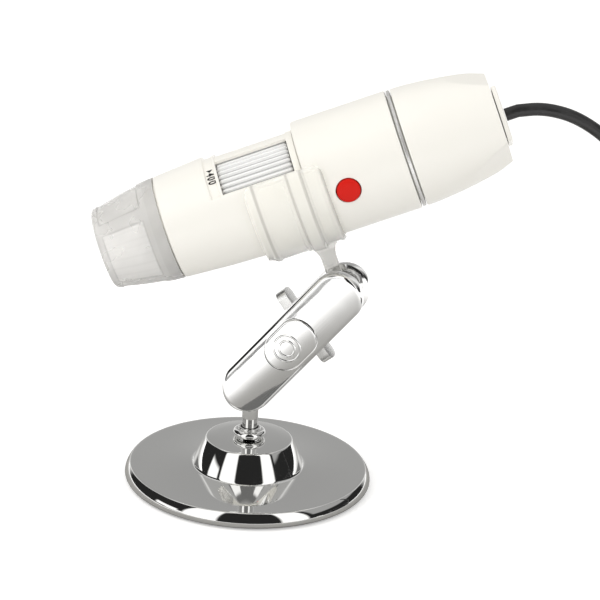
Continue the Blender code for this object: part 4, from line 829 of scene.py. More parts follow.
FOAM = Finish(
    "pad_foam", "pad_foam", (0.022, 0.022, 0.023), 0.88,
    tint=(0.06, 0.06, 0.06), amount=0.4, spread=0.08, scale=180.0, bump=0.12,
)
ZINC = Finish(
    "bright_zinc", "fastener_steel", (0.66, 0.66, 0.67), 0.22, 1.0, Effect.BRUSHING,
    tint=(0.5, 0.5, 0.45), amount=0.25, spread=0.18, scale=240.0, bump=0.006,
)
SATIN_CAST = Finish(
    "satin_cast", "wing_silver", (0.78, 0.78, 0.77), 0.26, 0.85, Effect.HANDLING,
    tint=(0.55, 0.55, 0.54), amount=0.25, spread=0.15, scale=300.0, bump=0.04,
)
CREAM = Finish(
    "warm_white_shell", "body_cream", (0.945, 0.928, 0.872), 0.34, 0.0,
    tint=(0.91, 0.885, 0.815), amount=0.2, spread=0.06, scale=55.0, bump=0.012, coat=0.1,
)
CLEAR_CLIP = ClipFinish(
    "clear_clip", "clip_clear", (0.99, 0.985, 0.96), 0.07, 0.0,
    tint=(0.95, 0.94, 0.91), amount=0.35, spread=0.08, scale=120.0, bump=0.015, transmission=0.62, ior=1.3,
)
CLEAR_HOOD = HoodFinish(
    "clear_hood", "hood_clear", (0.97, 0.962, 0.945), 0.22, 0.0,
    tint=(0.82, 0.812, 0.795), amount=0.4, spread=0.15, scale=140.0, bump=0.02, transmission=0.4, ior=1.42,
)
SILVER_RIBS = RibFinish(
    "silver_ribs", "wheel_silver", (0.95, 0.952, 0.95), 0.3, 0.0,
    tint=(0.85, 0.85, 0.85), amount=0.2, spread=0.12, scale=200.0, bump=0.008,
)
PEARL_RING = Finish(
    "pearl_ring", "ring_silver", (0.74, 0.735, 0.72), 0.3, 0.6, Effect.BRUSHING,
    tint=(0.5, 0.5, 0.49), amount=0.3, spread=0.12, scale=150.0, bump=0.004,
)
RED_BUTTON = Finish(
    "red_button", "button_red", (0.68, 0.01, 0.004), 0.34, 0.0,
    tint=(0.56, 0.006, 0.003), amount=0.25, spread=0.08, scale=200.0, bump=0.012, ior=1.28,
)
BLACK_PRINT = Finish(
    "black_print", "body_cream", (0.012, 0.012, 0.012), 0.5, 0.0,
    tint=(0.05, 0.05, 0.05), amount=0.3, spread=0.1, scale=900.0, bump=0.0,
)
INNER_BLACK = Finish(
    "inner_black", "inner_dark", (0.03, 0.03, 0.032), 0.55, 0.0,
    tint=(0.08, 0.08, 0.08), amount=0.3, spread=0.12, scale=200.0, bump=0.03,
)
CHIP = Finish(
    "chip_package", "chip_dark", (0.02, 0.02, 0.024), 0.4, 0.0,
    tint=(0.07, 0.07, 0.08), amount=0.4, spread=0.2, scale=400.0, bump=0.03,
)
BOARD = BoardFinish(
    "solder_mask", "board_green", (0.01, 0.12, 0.05), 0.35, 0.0,
    tint=(0.02, 0.2, 0.09), amount=0.3, spread=0.1, scale=260.0, bump=0.02,
)
WHITE_BOARD = BoardFinish(
    "white_board", "board_green", (0.72, 0.73, 0.7), 0.4, 0.0,
    tint=(0.6, 0.62, 0.58), amount=0.3, spread=0.1, scale=260.0, bump=0.02,
)
LAMP = LampFinish(
    "lamp_resin", "lamp_resin", (0.95, 0.93, 0.82), 0.08, 0.0,
    tint=(0.95, 0.88, 0.5), amount=0.5, spread=0.05, scale=500.0, bump=0.005, transmission=0.6,
)
LENS = Finish(
    "coated_lens", "lens_glass", (0.86, 0.93, 0.97), 0.015, 0.0,
    tint=(0.7, 0.85, 0.97), amount=0.3, spread=0.01, scale=80.0, bump=0.0, transmission=1.0, ior=1.52,
)
SHEATH = Finish(
    "black_sheath", "cord_black", (0.016, 0.0155, 0.016), 0.3, 0.0,
    tint=(0.035, 0.035, 0.036), amount=0.5, spread=0.16, scale=260.0, bump=0.03,
)
TIE_STRIP = Finish(
    "tie_strip", "tie_black", (0.02, 0.02, 0.021), 0.5, 0.0, Effect.BRUSHING,
    tint=(0.05, 0.05, 0.05), amount=0.5, spread=0.15, scale=200.0, bump=0.03,
)
PLUG_BODY = Finish(
    "plug_body", "plug_black", (0.018, 0.018, 0.019), 0.46, 0.0,
    tint=(0.05, 0.05, 0.052), amount=0.4, spread=0.14, scale=320.0, bump=0.05,
)
NICKEL = Finish(
    "nickel_sheet", "usb_steel", (0.68, 0.67, 0.65), 0.2, 1.0, Effect.BRUSHING,
    tint=(0.5, 0.49, 0.46), amount=0.3, spread=0.15, scale=220.0, bump=0.006,
)
GOLD = Finish(
    "gold_contact", "usb_steel", (0.83, 0.6, 0.22), 0.2, 1.0, Effect.BRUSHING,
    tint=(0.6, 0.42, 0.15), amount=0.3, spread=0.12, scale=220.0, bump=0.004,
)


@dataclass
class Maker:
    """Turns solids in a local frame into finished pieces on one body.

    Attributes:
        frame: Local millimetres to world metres.
        body: The body that the pieces ride on.
    """

    frame: Matrix
    body: str

    def piece(
        self,
        name: str,
        solid: Solid,
        finish: Finish,
        replaced: Sequence[str] = (),
        sharp: float = 38.0,
    ) -> bpy.types.Object:
        """Makes a piece.

        Args:
            name: The piece's name.
            solid: Its mesh, which is freed.
            finish: Its finish.
            replaced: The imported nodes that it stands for.
            sharp: The angle in degrees over which an edge stays sharp.

        Returns:
            The object, which rides on the body.
        """
        shifted(solid, self.frame)
        bmesh.ops.recalc_face_normals(solid, faces=solid.faces)
        mesh = bpy.data.meshes.new(name)
        solid.to_mesh(mesh)
        solid.free()
        mesh.shade_smooth()
        mesh.set_sharp_from_angle(angle=math.radians(sharp))
        mesh.materials.append(finish.material())
        obj = bpy.data.objects.new(name, mesh)
        bpy.context.scene.collection.objects.link(obj)
        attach(obj, self.body)
        if replaced:
            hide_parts(*replaced)
        LOG.info("%s: %d faces, on %s", name, len(mesh.polygons), self.body)
        return obj

    def combine(self, obj: bpy.types.Object, solid: Solid, operation: str = "DIFFERENCE") -> None:
        """Cuts a solid out of a piece or joins it on, and applies the result.

        Args:
            obj: The piece.
            solid: The solid in this frame, which is freed.
            operation: DIFFERENCE or UNION.
        """
        shifted(solid, self.frame)
        bmesh.ops.recalc_face_normals(solid, faces=solid.faces)
        mesh = bpy.data.meshes.new("helper")
        solid.to_mesh(mesh)
        solid.free()
        helper = bpy.data.objects.new("helper", mesh)
        bpy.context.scene.collection.objects.link(helper)
        modifier = obj.modifiers.new("shape", "BOOLEAN")
        modifier.operation = operation
        modifier.solver = "EXACT"
        modifier.object = helper
        self.settle(obj)
        bpy.data.objects.remove(helper)
        bpy.data.meshes.remove(mesh)

    def bevel(self, obj: bpy.types.Object, width: float, angle: float = 40.0, segments: int = 2) -> None:
        """Rounds a piece's sharp edges and applies the result.

        Args:
            obj: The piece.
            width: Width of the rounding, in millimetres.
            angle: The angle in degrees over which an edge is rounded.
            segments: Faces across the rounding.
        """
        modifier = obj.modifiers.new("edge", "BEVEL")
        modifier.width = width * MM
        modifier.segments = segments
        modifier.limit_method = "ANGLE"
        modifier.angle_limit = math.radians(angle)
        modifier.use_clamp_overlap = True
        self.settle(obj)

    @staticmethod
    def settle(obj: bpy.types.Object, sharp: float = 38.0) -> None:
        """Applies a piece's modifiers to its mesh."""
        bpy.context.view_layer.update()
        graph = bpy.context.evaluated_depsgraph_get()
        mesh = bpy.data.meshes.new_from_object(obj.evaluated_get(graph))
        obj.modifiers.clear()
        old = obj.data
        name = old.name
        obj.data = mesh
        bpy.data.meshes.remove(old)
        mesh.name = name
        mesh.shade_smooth()
        mesh.set_sharp_from_angle(angle=math.radians(sharp))


@dataclass
class Frames:
    """The local frames of the sub-assemblies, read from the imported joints.

    Attributes:
        joints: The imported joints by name.
        cap_turn: How far the rear cap is turned about the microscope's axis, in degrees.
        wing_turn: How far the wing nut's ears are turned from the arm, in degrees.
    """

    joints: dict[str, dict]
    cap_turn: float = -25.0
    wing_turn: float = 12.0

    def point(self, joint: str) -> Vector:
        """A joint's place."""
        return Vector(self.joints[joint]["pos_m"])

    def axis(self, joint: str) -> Vector:
        """A joint's direction."""
        return Vector(self.joints[joint]["axis"]).normalized()

    @staticmethod
    def made(origin: Vector, x: Vector, z: Vector) -> Matrix:
        """Makes a frame of millimetres.

        Args:
            origin: Its origin in the world.
            x: Its X direction.
            z: Its Z direction, square to X.

        Returns:
            The frame.
        """
        x, z = x.normalized(), z.normalized()
        turn = Matrix((x, z.cross(x), z)).transposed().to_4x4()
        return Matrix.Translation(origin) @ turn @ Matrix.Scale(MM, 4)

    @property
    def stand(self) -> Matrix:
        """The table, with the base's centre as its origin."""
        return Matrix.Scale(MM, 4)

    @property
    def arm(self) -> Matrix:
        """The arm, from the lower ball along to the upper one."""
        along = self.point("head_tilt") - self.point("arm_tilt")
        return self.made(self.point("arm_tilt"), along, along.cross(Vector((0, 1, 0))))

    @property
    def wing(self) -> Matrix:
        """The clamp screw, with its ears along Z."""
        at = self.arm.inverted() @ self.point("wing_turn")
        turn = Matrix.Rotation(math.radians(self.wing_turn), 4, "Y")
        return self.arm @ Matrix.Translation((at.x, 0, 0)) @ turn

    @property
    def clip(self) -> Matrix:
        """The clip, on the microscope's axis above its stem."""
        return self.made(self.point("scope_roll"), self.axis("scope_roll"), self.axis("head_swivel"))

    @property
    def scope(self) -> Matrix:
        """The microscope, with its button on the -Y side."""
        along = self.axis("scope_roll")
        return self.made(self.point("scope_roll"), along, along.cross(self.axis("snap_press")))

    @property
    def cap(self) -> Matrix:
        """The rear cap, turned about the microscope's axis."""
        return self.scope @ Matrix.Rotation(math.radians(self.cap_turn), 4, "X")


@dataclass
class Stand:
    """The round base, its stem and collar.

    Attributes:
        frame: The table's frame.
        ball_height: Height of the lower ball.
        radius: Radius of the base.
        disc: Height of the disc at the rim's inner edge.
        dome: Radii of the dome's foot and of the room inside its top.
        dome_height: Rise of the dome over the disc.
        lean: How far the dome's side leans in at its foot and under its edge, in degrees.
        edge: Radius of the dome's upper edge.
        wall: Thickness of the pressed shell.
        stem: Radius of the stem.
        peg: Radius of the peg in the ball.
        ball: Radius of the ball.
    """

    frame: Matrix
    ball_height: float
    radius: float = 34.1
    disc: float = 4.5
    dome: Pair = (15.3, 11.7)
    dome_height: float = 7.5
    lean: Pair = (19.0, 29.0)
    edge: float = 0.7
    wall: float = 1.2
    stem: float = 2.2
    peg: float = 1.5
    ball: float = 4.6

    @staticmethod
    def leaning(start: Pair, stops: Profile, steps: int = 8) -> Profile:
        """A line up a side whose face looks more and more upwards.

        Args:
            start: Where it starts.
            stops: Heights, each with the angle over the horizon at which the face looks there.
            steps: Points from stop to stop.

        Returns:
            The points, the start left out.
        """
        points: Profile = []
        height, reach = start
        angle = stops[0][1]
        for stop, wanted in stops[1:]:
            rise, turn = (stop - height) / steps, (wanted - angle) / steps
            for _ in range(steps):
                reach -= rise * math.tan(math.radians(angle + turn / 2))
                height, angle = height + rise, angle + turn
                points.append((height, reach))
        return points

    @staticmethod
    def rounded(start: Pair, radius: float, angle: float) -> Profile:
        """Gives an edge that turns from a leaning side to nearly level.

        Args:
            start: Where the side ends.
            radius: The edge's radius.
            angle: How far the side looks up there, in degrees.

        Returns:
            The points, the start left out.
        """
        lean = math.radians(angle)
        centre = (start[0] - radius * math.sin(lean), start[1] - radius * math.cos(lean))
        return arc(centre, (radius, radius), lean, math.radians(86), 8)[1:]

    def shell_profile(self) -> Profile:
        """The pressed shell, from its foot over the rim and dome to the stem and back inside."""
        widest = 1.7
        foot = self.radius - 1.4
        inner = foot - 1.5
        hole = 1.9
        top = self.disc + 0.4 + self.dome_height
        under = arc((widest, foot), (widest - 0.4, 1.4), -math.pi / 2, 0, 6)
        rim = self.leaning((widest, self.radius), [(widest, 0.0), (2.3, 14.0), (self.disc - 0.05, 41.0)])
        rim += self.rounded(rim[-1], 0.55, 41.0)
        height, reach = rim[-1]
        crease = self.disc + 0.5
        disc = []
        for k in range(1, 25):
            share = k / 24
            level = height + (crease - height) * share**2.4
            disc.append((level, reach + (self.dome[0] + 0.12 - reach) * share))
        lean_foot, lean_top = self.lean
        dome_foot, shoulder = (crease + 0.12, self.dome[0]), top - 0.1
        dome = [dome_foot, *self.leaning(dome_foot, [(dome_foot[0], lean_foot), (shoulder, lean_top)], 16)]
        dome += self.rounded(dome[-1], self.edge, lean_top)
        reach = dome[-1][1]
        flat = [(top + 0.4, reach * 0.75), (top + 0.46, reach * 0.45), (top + 0.5, hole + 0.2)]
        inside = [
            (top + 0.3, hole),
            (top - self.wall, hole),
            (top - self.wall, self.dome[1] - 1.0),
            (self.disc - self.wall, self.dome[0] - 1.2),
            (self.disc - self.wall - 0.4, inner - 3.0),
            (2.0, inner),
            (0.4, inner),
        ]
        return under + rim + disc + dome + flat + inside

    def build(self) -> None:
        """Builds and dresses the stand."""
        maker = Maker(self.frame, "base")
        plated = lathe(self.shell_profile(), Axis.Z, 192, True)
        maker.piece("base_plated_shell", plated, CHROME, ["base_shell"], 50)
        pad = softened([(0.0, 0.01), (0.0, 31.2), (1.0, 31.2), (1.0, 0.01)], 0.4)
        maker.piece("base_soft_pad", lathe(pad, Axis.Z, 96), FOAM, ["base_pad"])
        seat = self.disc + 0.4 + self.dome_height + 0.5 + GAP
        shoulder = self.ball_height - math.sqrt(self.ball**2 - (self.peg + GAP) ** 2) - GAP
        stem = [
            (1.7, 1.6), (seat, 1.6), (seat, self.stem), (shoulder - 0.4, self.stem),
            (shoulder, self.stem - 0.4), (shoulder, self.peg), (self.ball_height + 1.0, self.peg),
        ]
        maker.piece("plated_stem", lathe(softened(stem, 0.25), Axis.Z, 64), CHROME, ["stand_stem"])
        collar = [(seat, self.stem + GAP), (seat, 3.2)]
        collar += arc((seat + 1.15, 3.1), (1.15, 1.4), math.radians(-80), math.radians(76), 20)
        collar.append((seat + 2.3, 3.15))
        collar += arc((seat + 2.5, 2.75), (0.3, 0.35), math.radians(-50), math.radians(84), 10)
        collar.append((seat + 2.8, self.stem + GAP))
        maker.piece("plated_collar", lathe(collar, Axis.Z, 96, True), CHROME, ["stem_collar"], 50)


def ball_solid(radius: float, bore: float, depth: float, facing: int) -> Solid:
    """A ball with a blind bore along Z.

    Args:
        radius: The ball's radius.
        bore: The bore's radius.
        depth: How far the bore goes past the centre.
        facing: The side that the bore opens on, +1 or -1.

    Returns:
        The solid, turned about Z.
    """
    mouth = math.sqrt(radius**2 - bore**2)
    edge = math.acos(mouth / radius)
    profile: Profile = [(-facing * radius, 0.0)]
    steps = 40
    for k in range(1, steps + 1):
        angle = math.pi + (edge - math.pi) * k / steps
        profile.append((facing * radius * math.cos(angle), radius * math.sin(angle)))
    profile += [(-facing * depth, bore), (-facing * depth, 0.0)]
    return lathe(softened(profile, 0.2), Axis.Z, 72)


@dataclass
class ClampArm:
    """The arm of two clamped shells, its balls, screw, cap and wing nut.

    Attributes:
        frame: The arm's frame, from ball to ball.
        wing_frame: The clamp screw's frame.
        swivel_frame: The lower ball's frame.
        head_frame: The upper ball's frame.
        spacing: Distance from ball to ball.
        width: Width of the shells.
        seam: Gap between the shells.
        crown: Half of the arm's thickness.
        bend: Radius of the crown across the arm.
        edge: Radius of the rounding round each shell.
        ball: Radius of the balls.
        bore: Radius of the balls' bores.
        cap: Length and width of the boss cap.
        proud: How far the boss cap stands over the crown.
        screw: Radius of the clamp screw.
    """

    frame: Matrix
    wing_frame: Matrix
    swivel_frame: Matrix
    head_frame: Matrix
    spacing: float
    width: float = 14.2
    seam: float = 5.6
    crown: float = 6.2
    bend: float = 14.0
    edge: float = 1.0
    ball: float = 4.6
    bore: float = 1.8
    cap: Pair = (16.2, 11.0)
    proud: float = 0.5
    screw: float = 2.0

    def crowned(self, inset: float, edge: float, across: float) -> float:
        """Height of a crowned face over the arm's middle plane.

        Args:
            inset: Distance in from the face's outline.
            edge: Radius of the rounding at the outline.
            across: Distance from the arm's centre line.

        Returns:
            The height, before what the face stands proud.
        """
        drop = edge - math.sqrt(edge**2 - max(edge - inset, 0.0) ** 2)
        return self.crown - across**2 / (2 * self.bend) - drop

    def shell(self, side: int) -> Solid:
        """Makes one shell: a straight side, a rounded edge and a crown that bends across the arm.

        Args:
            side: +1 or -1 along Y.

        Returns:
            The solid.
        """
        seam, half = self.seam / 2, self.width / 2
        loops = []
        for height, inset in ((seam, 0.18), (seam + 0.1, 0.04), (seam + 0.25, 0.0)):
            loops.append([Vector((x, side * height, z)) for x, z in stadium(self.spacing, half - inset, 40)])
        insets = [self.edge * (1 - math.cos(math.radians(15 * k))) for k in range(7)]
        insets += [1.4, 2.0, 2.8, 3.6, 4.4, 5.2, 6.0, 6.6, 7.0]
        for inset in insets:
            outline = stadium(self.spacing, half - inset, 40)
            loops.append([Vector((x, side * self.crowned(inset, self.edge, z), z)) for x, z in outline])
        return loft(loops)

    def build_shells(self) -> None:
        """Builds both shells with their sockets, pockets, boss and screw hole."""
        maker = Maker(self.frame, "arm")
        middle = self.spacing / 2
        at_middle = Matrix.Translation((middle, 0, 0))
        for side, name in ((-1, "front"), (1, "rear")):
            shell = maker.piece(f"arm_{name}_plated", self.shell(side), ARM_CHROME, [f"arm_{name}_shell"])
            seam = side * self.seam / 2
            for centre in (0.0, self.spacing):
                socket = bmesh.new()
                bmesh.ops.create_uvsphere(socket, u_segments=64, v_segments=32, radius=self.ball + GAP)
                maker.combine(shell, shifted(socket, Matrix.Translation((centre, 0, 0))))
            for centre in (9.8, self.spacing - 9.8):
                outline = rounded_rectangle(7.2, 8.4, 1.2)
                levels = (seam - side * 0.5, seam + side * 1.7)
                maker.combine(shell, loft([[Vector((centre + x, y, z)) for x, z in outline] for y in levels]))
            boss = lathe([(seam - side * 1.6, 4.4), (seam + side * 1.0, 4.4)], Axis.Y, 72)
            maker.combine(shell, shifted(boss, at_middle), "UNION")
            hole = lathe([(-8.0, self.screw + GAP), (8.0, self.screw + GAP)], Axis.Y, SMALL_ROUND)
            maker.combine(shell, shifted(hole, at_middle))
            if side < 0:
                seat = self.crown + self.proud - 1.4 - GAP
                outline = self.cap_outline(GAP, 0.0)
                maker.combine(shell, loft([[Vector((x, -y, z)) for x, z in outline] for y in (seat, 8.0)]))
                maker.combine(shell, shifted(lathe([(-8.0, 3.8), (-seat + 1.6, 3.8)], Axis.Y, 72), at_middle))
            else:
                maker.combine(shell, shifted(lathe([(5.7, 4.7), (8.0, 4.7)], Axis.Y, 72), at_middle))

    def cap_outline(self, grow: float, inset: float) -> list[Pair]:
        """The boss cap's outline in the arm's plane, grown or drawn in."""
        length, width = self.cap
        spacing = length - width
        start = (self.spacing - spacing) / 2
        return [(start + x, z) for x, z in stadium(spacing, width / 2 + grow - inset, 40)]

    def build_cap(self) -> None:
        """Builds the boss cap and the plain ring on its crown."""
        maker = Maker(self.frame, "arm")
        bottom, edge = self.crown + self.proud - 1.4, 0.28
        loops = [[Vector((x, -bottom, z)) for x, z in self.cap_outline(0.0, 0.0)]]
        for inset in (0.0, 0.02, 0.08, 0.17, 0.28, 0.6, 1.4, 2.4, 3.4, 4.4, 5.2):
            outline = self.cap_outline(0.0, inset)
            loops.append([Vector((x, -self.crowned(inset, edge, z) - self.proud, z)) for x, z in outline])
        maker.piece("boss_cap_plated", loft(loops), ARM_CHROME, ["arm_boss_cap"])
        centre = Matrix.Translation((self.spacing / 2 - 1.2, 0, 0))
        low = 0.3 - self.crown - self.proud
        for name, radius in (("outer", 3.7), ("inner", 2.2)):
            ring = lathe(arc((low, radius), (0.46, 0.42), -math.pi, 0.0, 10), Axis.Y, 72, True)
            for vertex in ring.verts:
                vertex.co.y += vertex.co.z**2 / (2 * self.bend)
            maker.piece(f"boss_ring_{name}", shifted(ring, centre), ARM_CHROME)

    def build_clamp(self) -> None:
        """Builds the clamp screw, its washer and the wing nut."""
        maker = Maker(self.frame, "arm")
        at_middle = Matrix.Translation((self.spacing / 2, 0, 0))
        head_top = self.crown + self.proud - 1.4 - 2 * GAP
        end = 6.0 + 0.7 + GAP + 4.6 + 0.8
        screw = [
            (-head_top, 3.5), (-head_top + 1.0, 3.5), (-head_top + 1.0, self.screw),
            (end - 0.4, self.screw), (end, self.screw - 0.4),
        ]
        turned = shifted(lathe(softened(screw, 0.2), Axis.Y, SMALL_ROUND), at_middle)
        maker.piece("clamp_screw_bright", turned, ZINC, ["clamp_screw"])
        washer = softened([(6.0, 2.3), (6.0, 4.4), (6.7, 4.4), (6.7, 2.3)], 0.15, closed=True)
        ring = shifted(lathe(washer, Axis.Y, 64, True), at_middle)
        maker.piece("clamp_washer_bright", ring, ZINC, ["clamp_washer"])
        self.build_wing(6.0 + 0.7 + GAP)

    def build_wing(self, low: float) -> None:
        """Builds the wing nut as a hub with two rounded ears.

        Args:
            low: Place of the hub's foot along the screw.
        """
        maker = Maker(self.wing_frame, "wing_nut")
        high = low + 4.6
        hub = [(low, 3.5), (low + 0.3, 3.7), (high - 1.0, 3.7), (high - 0.3, 3.4), (high, 2.8)]
        nut = maker.piece("wing_nut_cast", lathe(softened(hub, 0.4), Axis.Y, 72), SATIN_CAST, ["wing_nut"])
        reach, depth, corner, thick = 11.7, 5.2, 2.1, 3.0
        ear_low = low + 0.6
        for side in (-1, 1):
            outline = [(0.0, ear_low), (reach - corner, ear_low)]
            outline += [
                (reach - corner + corner * math.cos(a), ear_low + corner + corner * math.sin(a))
                for a in (math.radians(-90 + 15 * k) for k in range(1, 7))
            ]
            outline += [
                (reach - corner + corner * math.cos(a), ear_low + depth - corner + corner * math.sin(a))
                for a in (math.radians(15 * k) for k in range(7))
            ]
            outline += [(4.2, ear_low + depth - 0.5), (0.0, high - 1.0)]
            ends = (-thick / 2, thick / 2)
            faces = [[Vector((x, y, side * radial)) for radial, y in outline] for x in ends]
            maker.combine(nut, loft(faces), "UNION")
        maker.bevel(nut, 1.0, 50.0, 5)
        maker.combine(nut, lathe([(low - 1, 2.3), (low + 8, 2.3)], Axis.Y, SMALL_ROUND))

    def build(self) -> None:
        """Builds and dresses the arm."""
        self.build_shells()
        self.build_cap()
        self.build_clamp()
        lower = Maker(self.swivel_frame, "lower_ball")
        ground = ball_solid(self.ball, self.bore, 1.3, -1)
        lower.piece("lower_ball_ground", ground, BALL_STEEL, ["lower_ball"])
        upper = Maker(self.head_frame, "upper_ball")
        upper.piece("upper_ball_ground", ball_solid(self.ball, self.bore, 1.3, 1), BALL_STEEL, ["upper_ball"])


@dataclass
class HeadClip:
    """The clear clip with its stem and peg.

    Attributes:
        frame: The clip's frame, on the microscope's axis.
        height: Distance from the axis down to the upper ball.
        bore: Radius that holds the microscope.
        wall: Thickness of the ring.
        front: Length of the ring in front of the stem.
        lip: Length of the thin lip before that.
        rear: Length of the ring behind the stem.
        wrap: Half of the angle that the ring wraps, in degrees.
    """

    frame: Matrix
    height: float
    bore: float = 16.7
    wall: float = 1.4
    front: float = 12.7
    lip: float = 2.3
    rear: float = 6.5
    wrap: float = 113.0

    def outer(self, place: float, angle: float) -> float:
        """Gives the ring's outer radius, with its rib, panels and raised borders.

        Args:
            place: Place along the axis.
            angle: Angle round it, in radians.

        Returns:
            The radius.
        """
        lip_front = -self.front - self.lip
        full = self.bore + self.wall
        growth = smooth_step(lip_front + 0.2, -self.front + 0.3, place)
        radius = self.bore + 0.45 + (self.wall - 0.45) * growth
        radius -= 0.55 * smooth_step(self.rear - 0.9, self.rear, place)
        rib = smooth_step(-3.2, -2.6, place) * (1 - smooth_step(0.5, 1.1, place))
        radius += 0.75 * rib
        off = abs((angle - math.pi + math.pi) % math.tau - math.pi)
        border = (math.radians(self.wrap) - off) * full
        rim = 1 - smooth_step(0.9, 1.3, border)
        section = smooth_step(1.4, 1.8, place) * (1 - smooth_step(4.9, 5.3, place))
        section += smooth_step(-11.6, -11.3, place) * (1 - smooth_step(-4.3, -4.0, place))
        return radius + 0.22 * rim * (1 - rib) - 0.3 * section * (1 - rim)

    def build(self) -> None:
        """Builds and dresses the clip."""
        lip_front = -self.front - self.lip
        steps = 78
        places = [lip_front + (self.rear - lip_front) * k / steps for k in range(steps + 1)]
        corner = 2.6

        def bend(place: float, share: float) -> float:
            """The angle at a share of the wrap, drawn in near the ring's ends."""
            near = min(place - lip_front, self.rear - place)
            inset = 0.0
            if near < corner:
                inset = corner - math.sqrt(corner**2 - (corner - near) ** 2)
            half = math.radians(self.wrap) - inset / self.bore
            return math.pi + half * share

        columns = [-1 + 2 * k / 150 for k in range(151)]
        wall = Wall(places, columns, self.outer, lambda place, angle: self.bore, bend=bend, full=False)
        maker = Maker(self.frame, "clip")
        clip = maker.piece("clip_clear_ring", wall.build(), CLEAR_CLIP.fitted(self.frame), ["scope_clip"], 30)
        shoulder = self.height - math.sqrt(4.6**2 - 1.8**2) - GAP
        top = self.bore + self.wall
        rows = [
            (self.bore + 0.5, 7.2, 3.9), (top, 7.0, 3.8), (top + 0.9, 5.6, 3.5), (top + 2.2, 4.6, 3.25),
            (top + 3.4, 4.2, 3.2), (shoulder - 0.3, 4.2, 3.2), (shoulder, 3.8, 2.8),
        ]
        loops = [[Vector((x, y, -down)) for x, y in rounded_rectangle(w, d, 0.8)] for down, w, d in rows]
        maker.combine(clip, loft(loops), "UNION")
        peg = lathe([(-self.height - 1.0, 1.5), (-shoulder + 0.8, 1.5)], Axis.Z, 40)
        maker.combine(clip, peg, "UNION")
        clip.visible_shadow = False


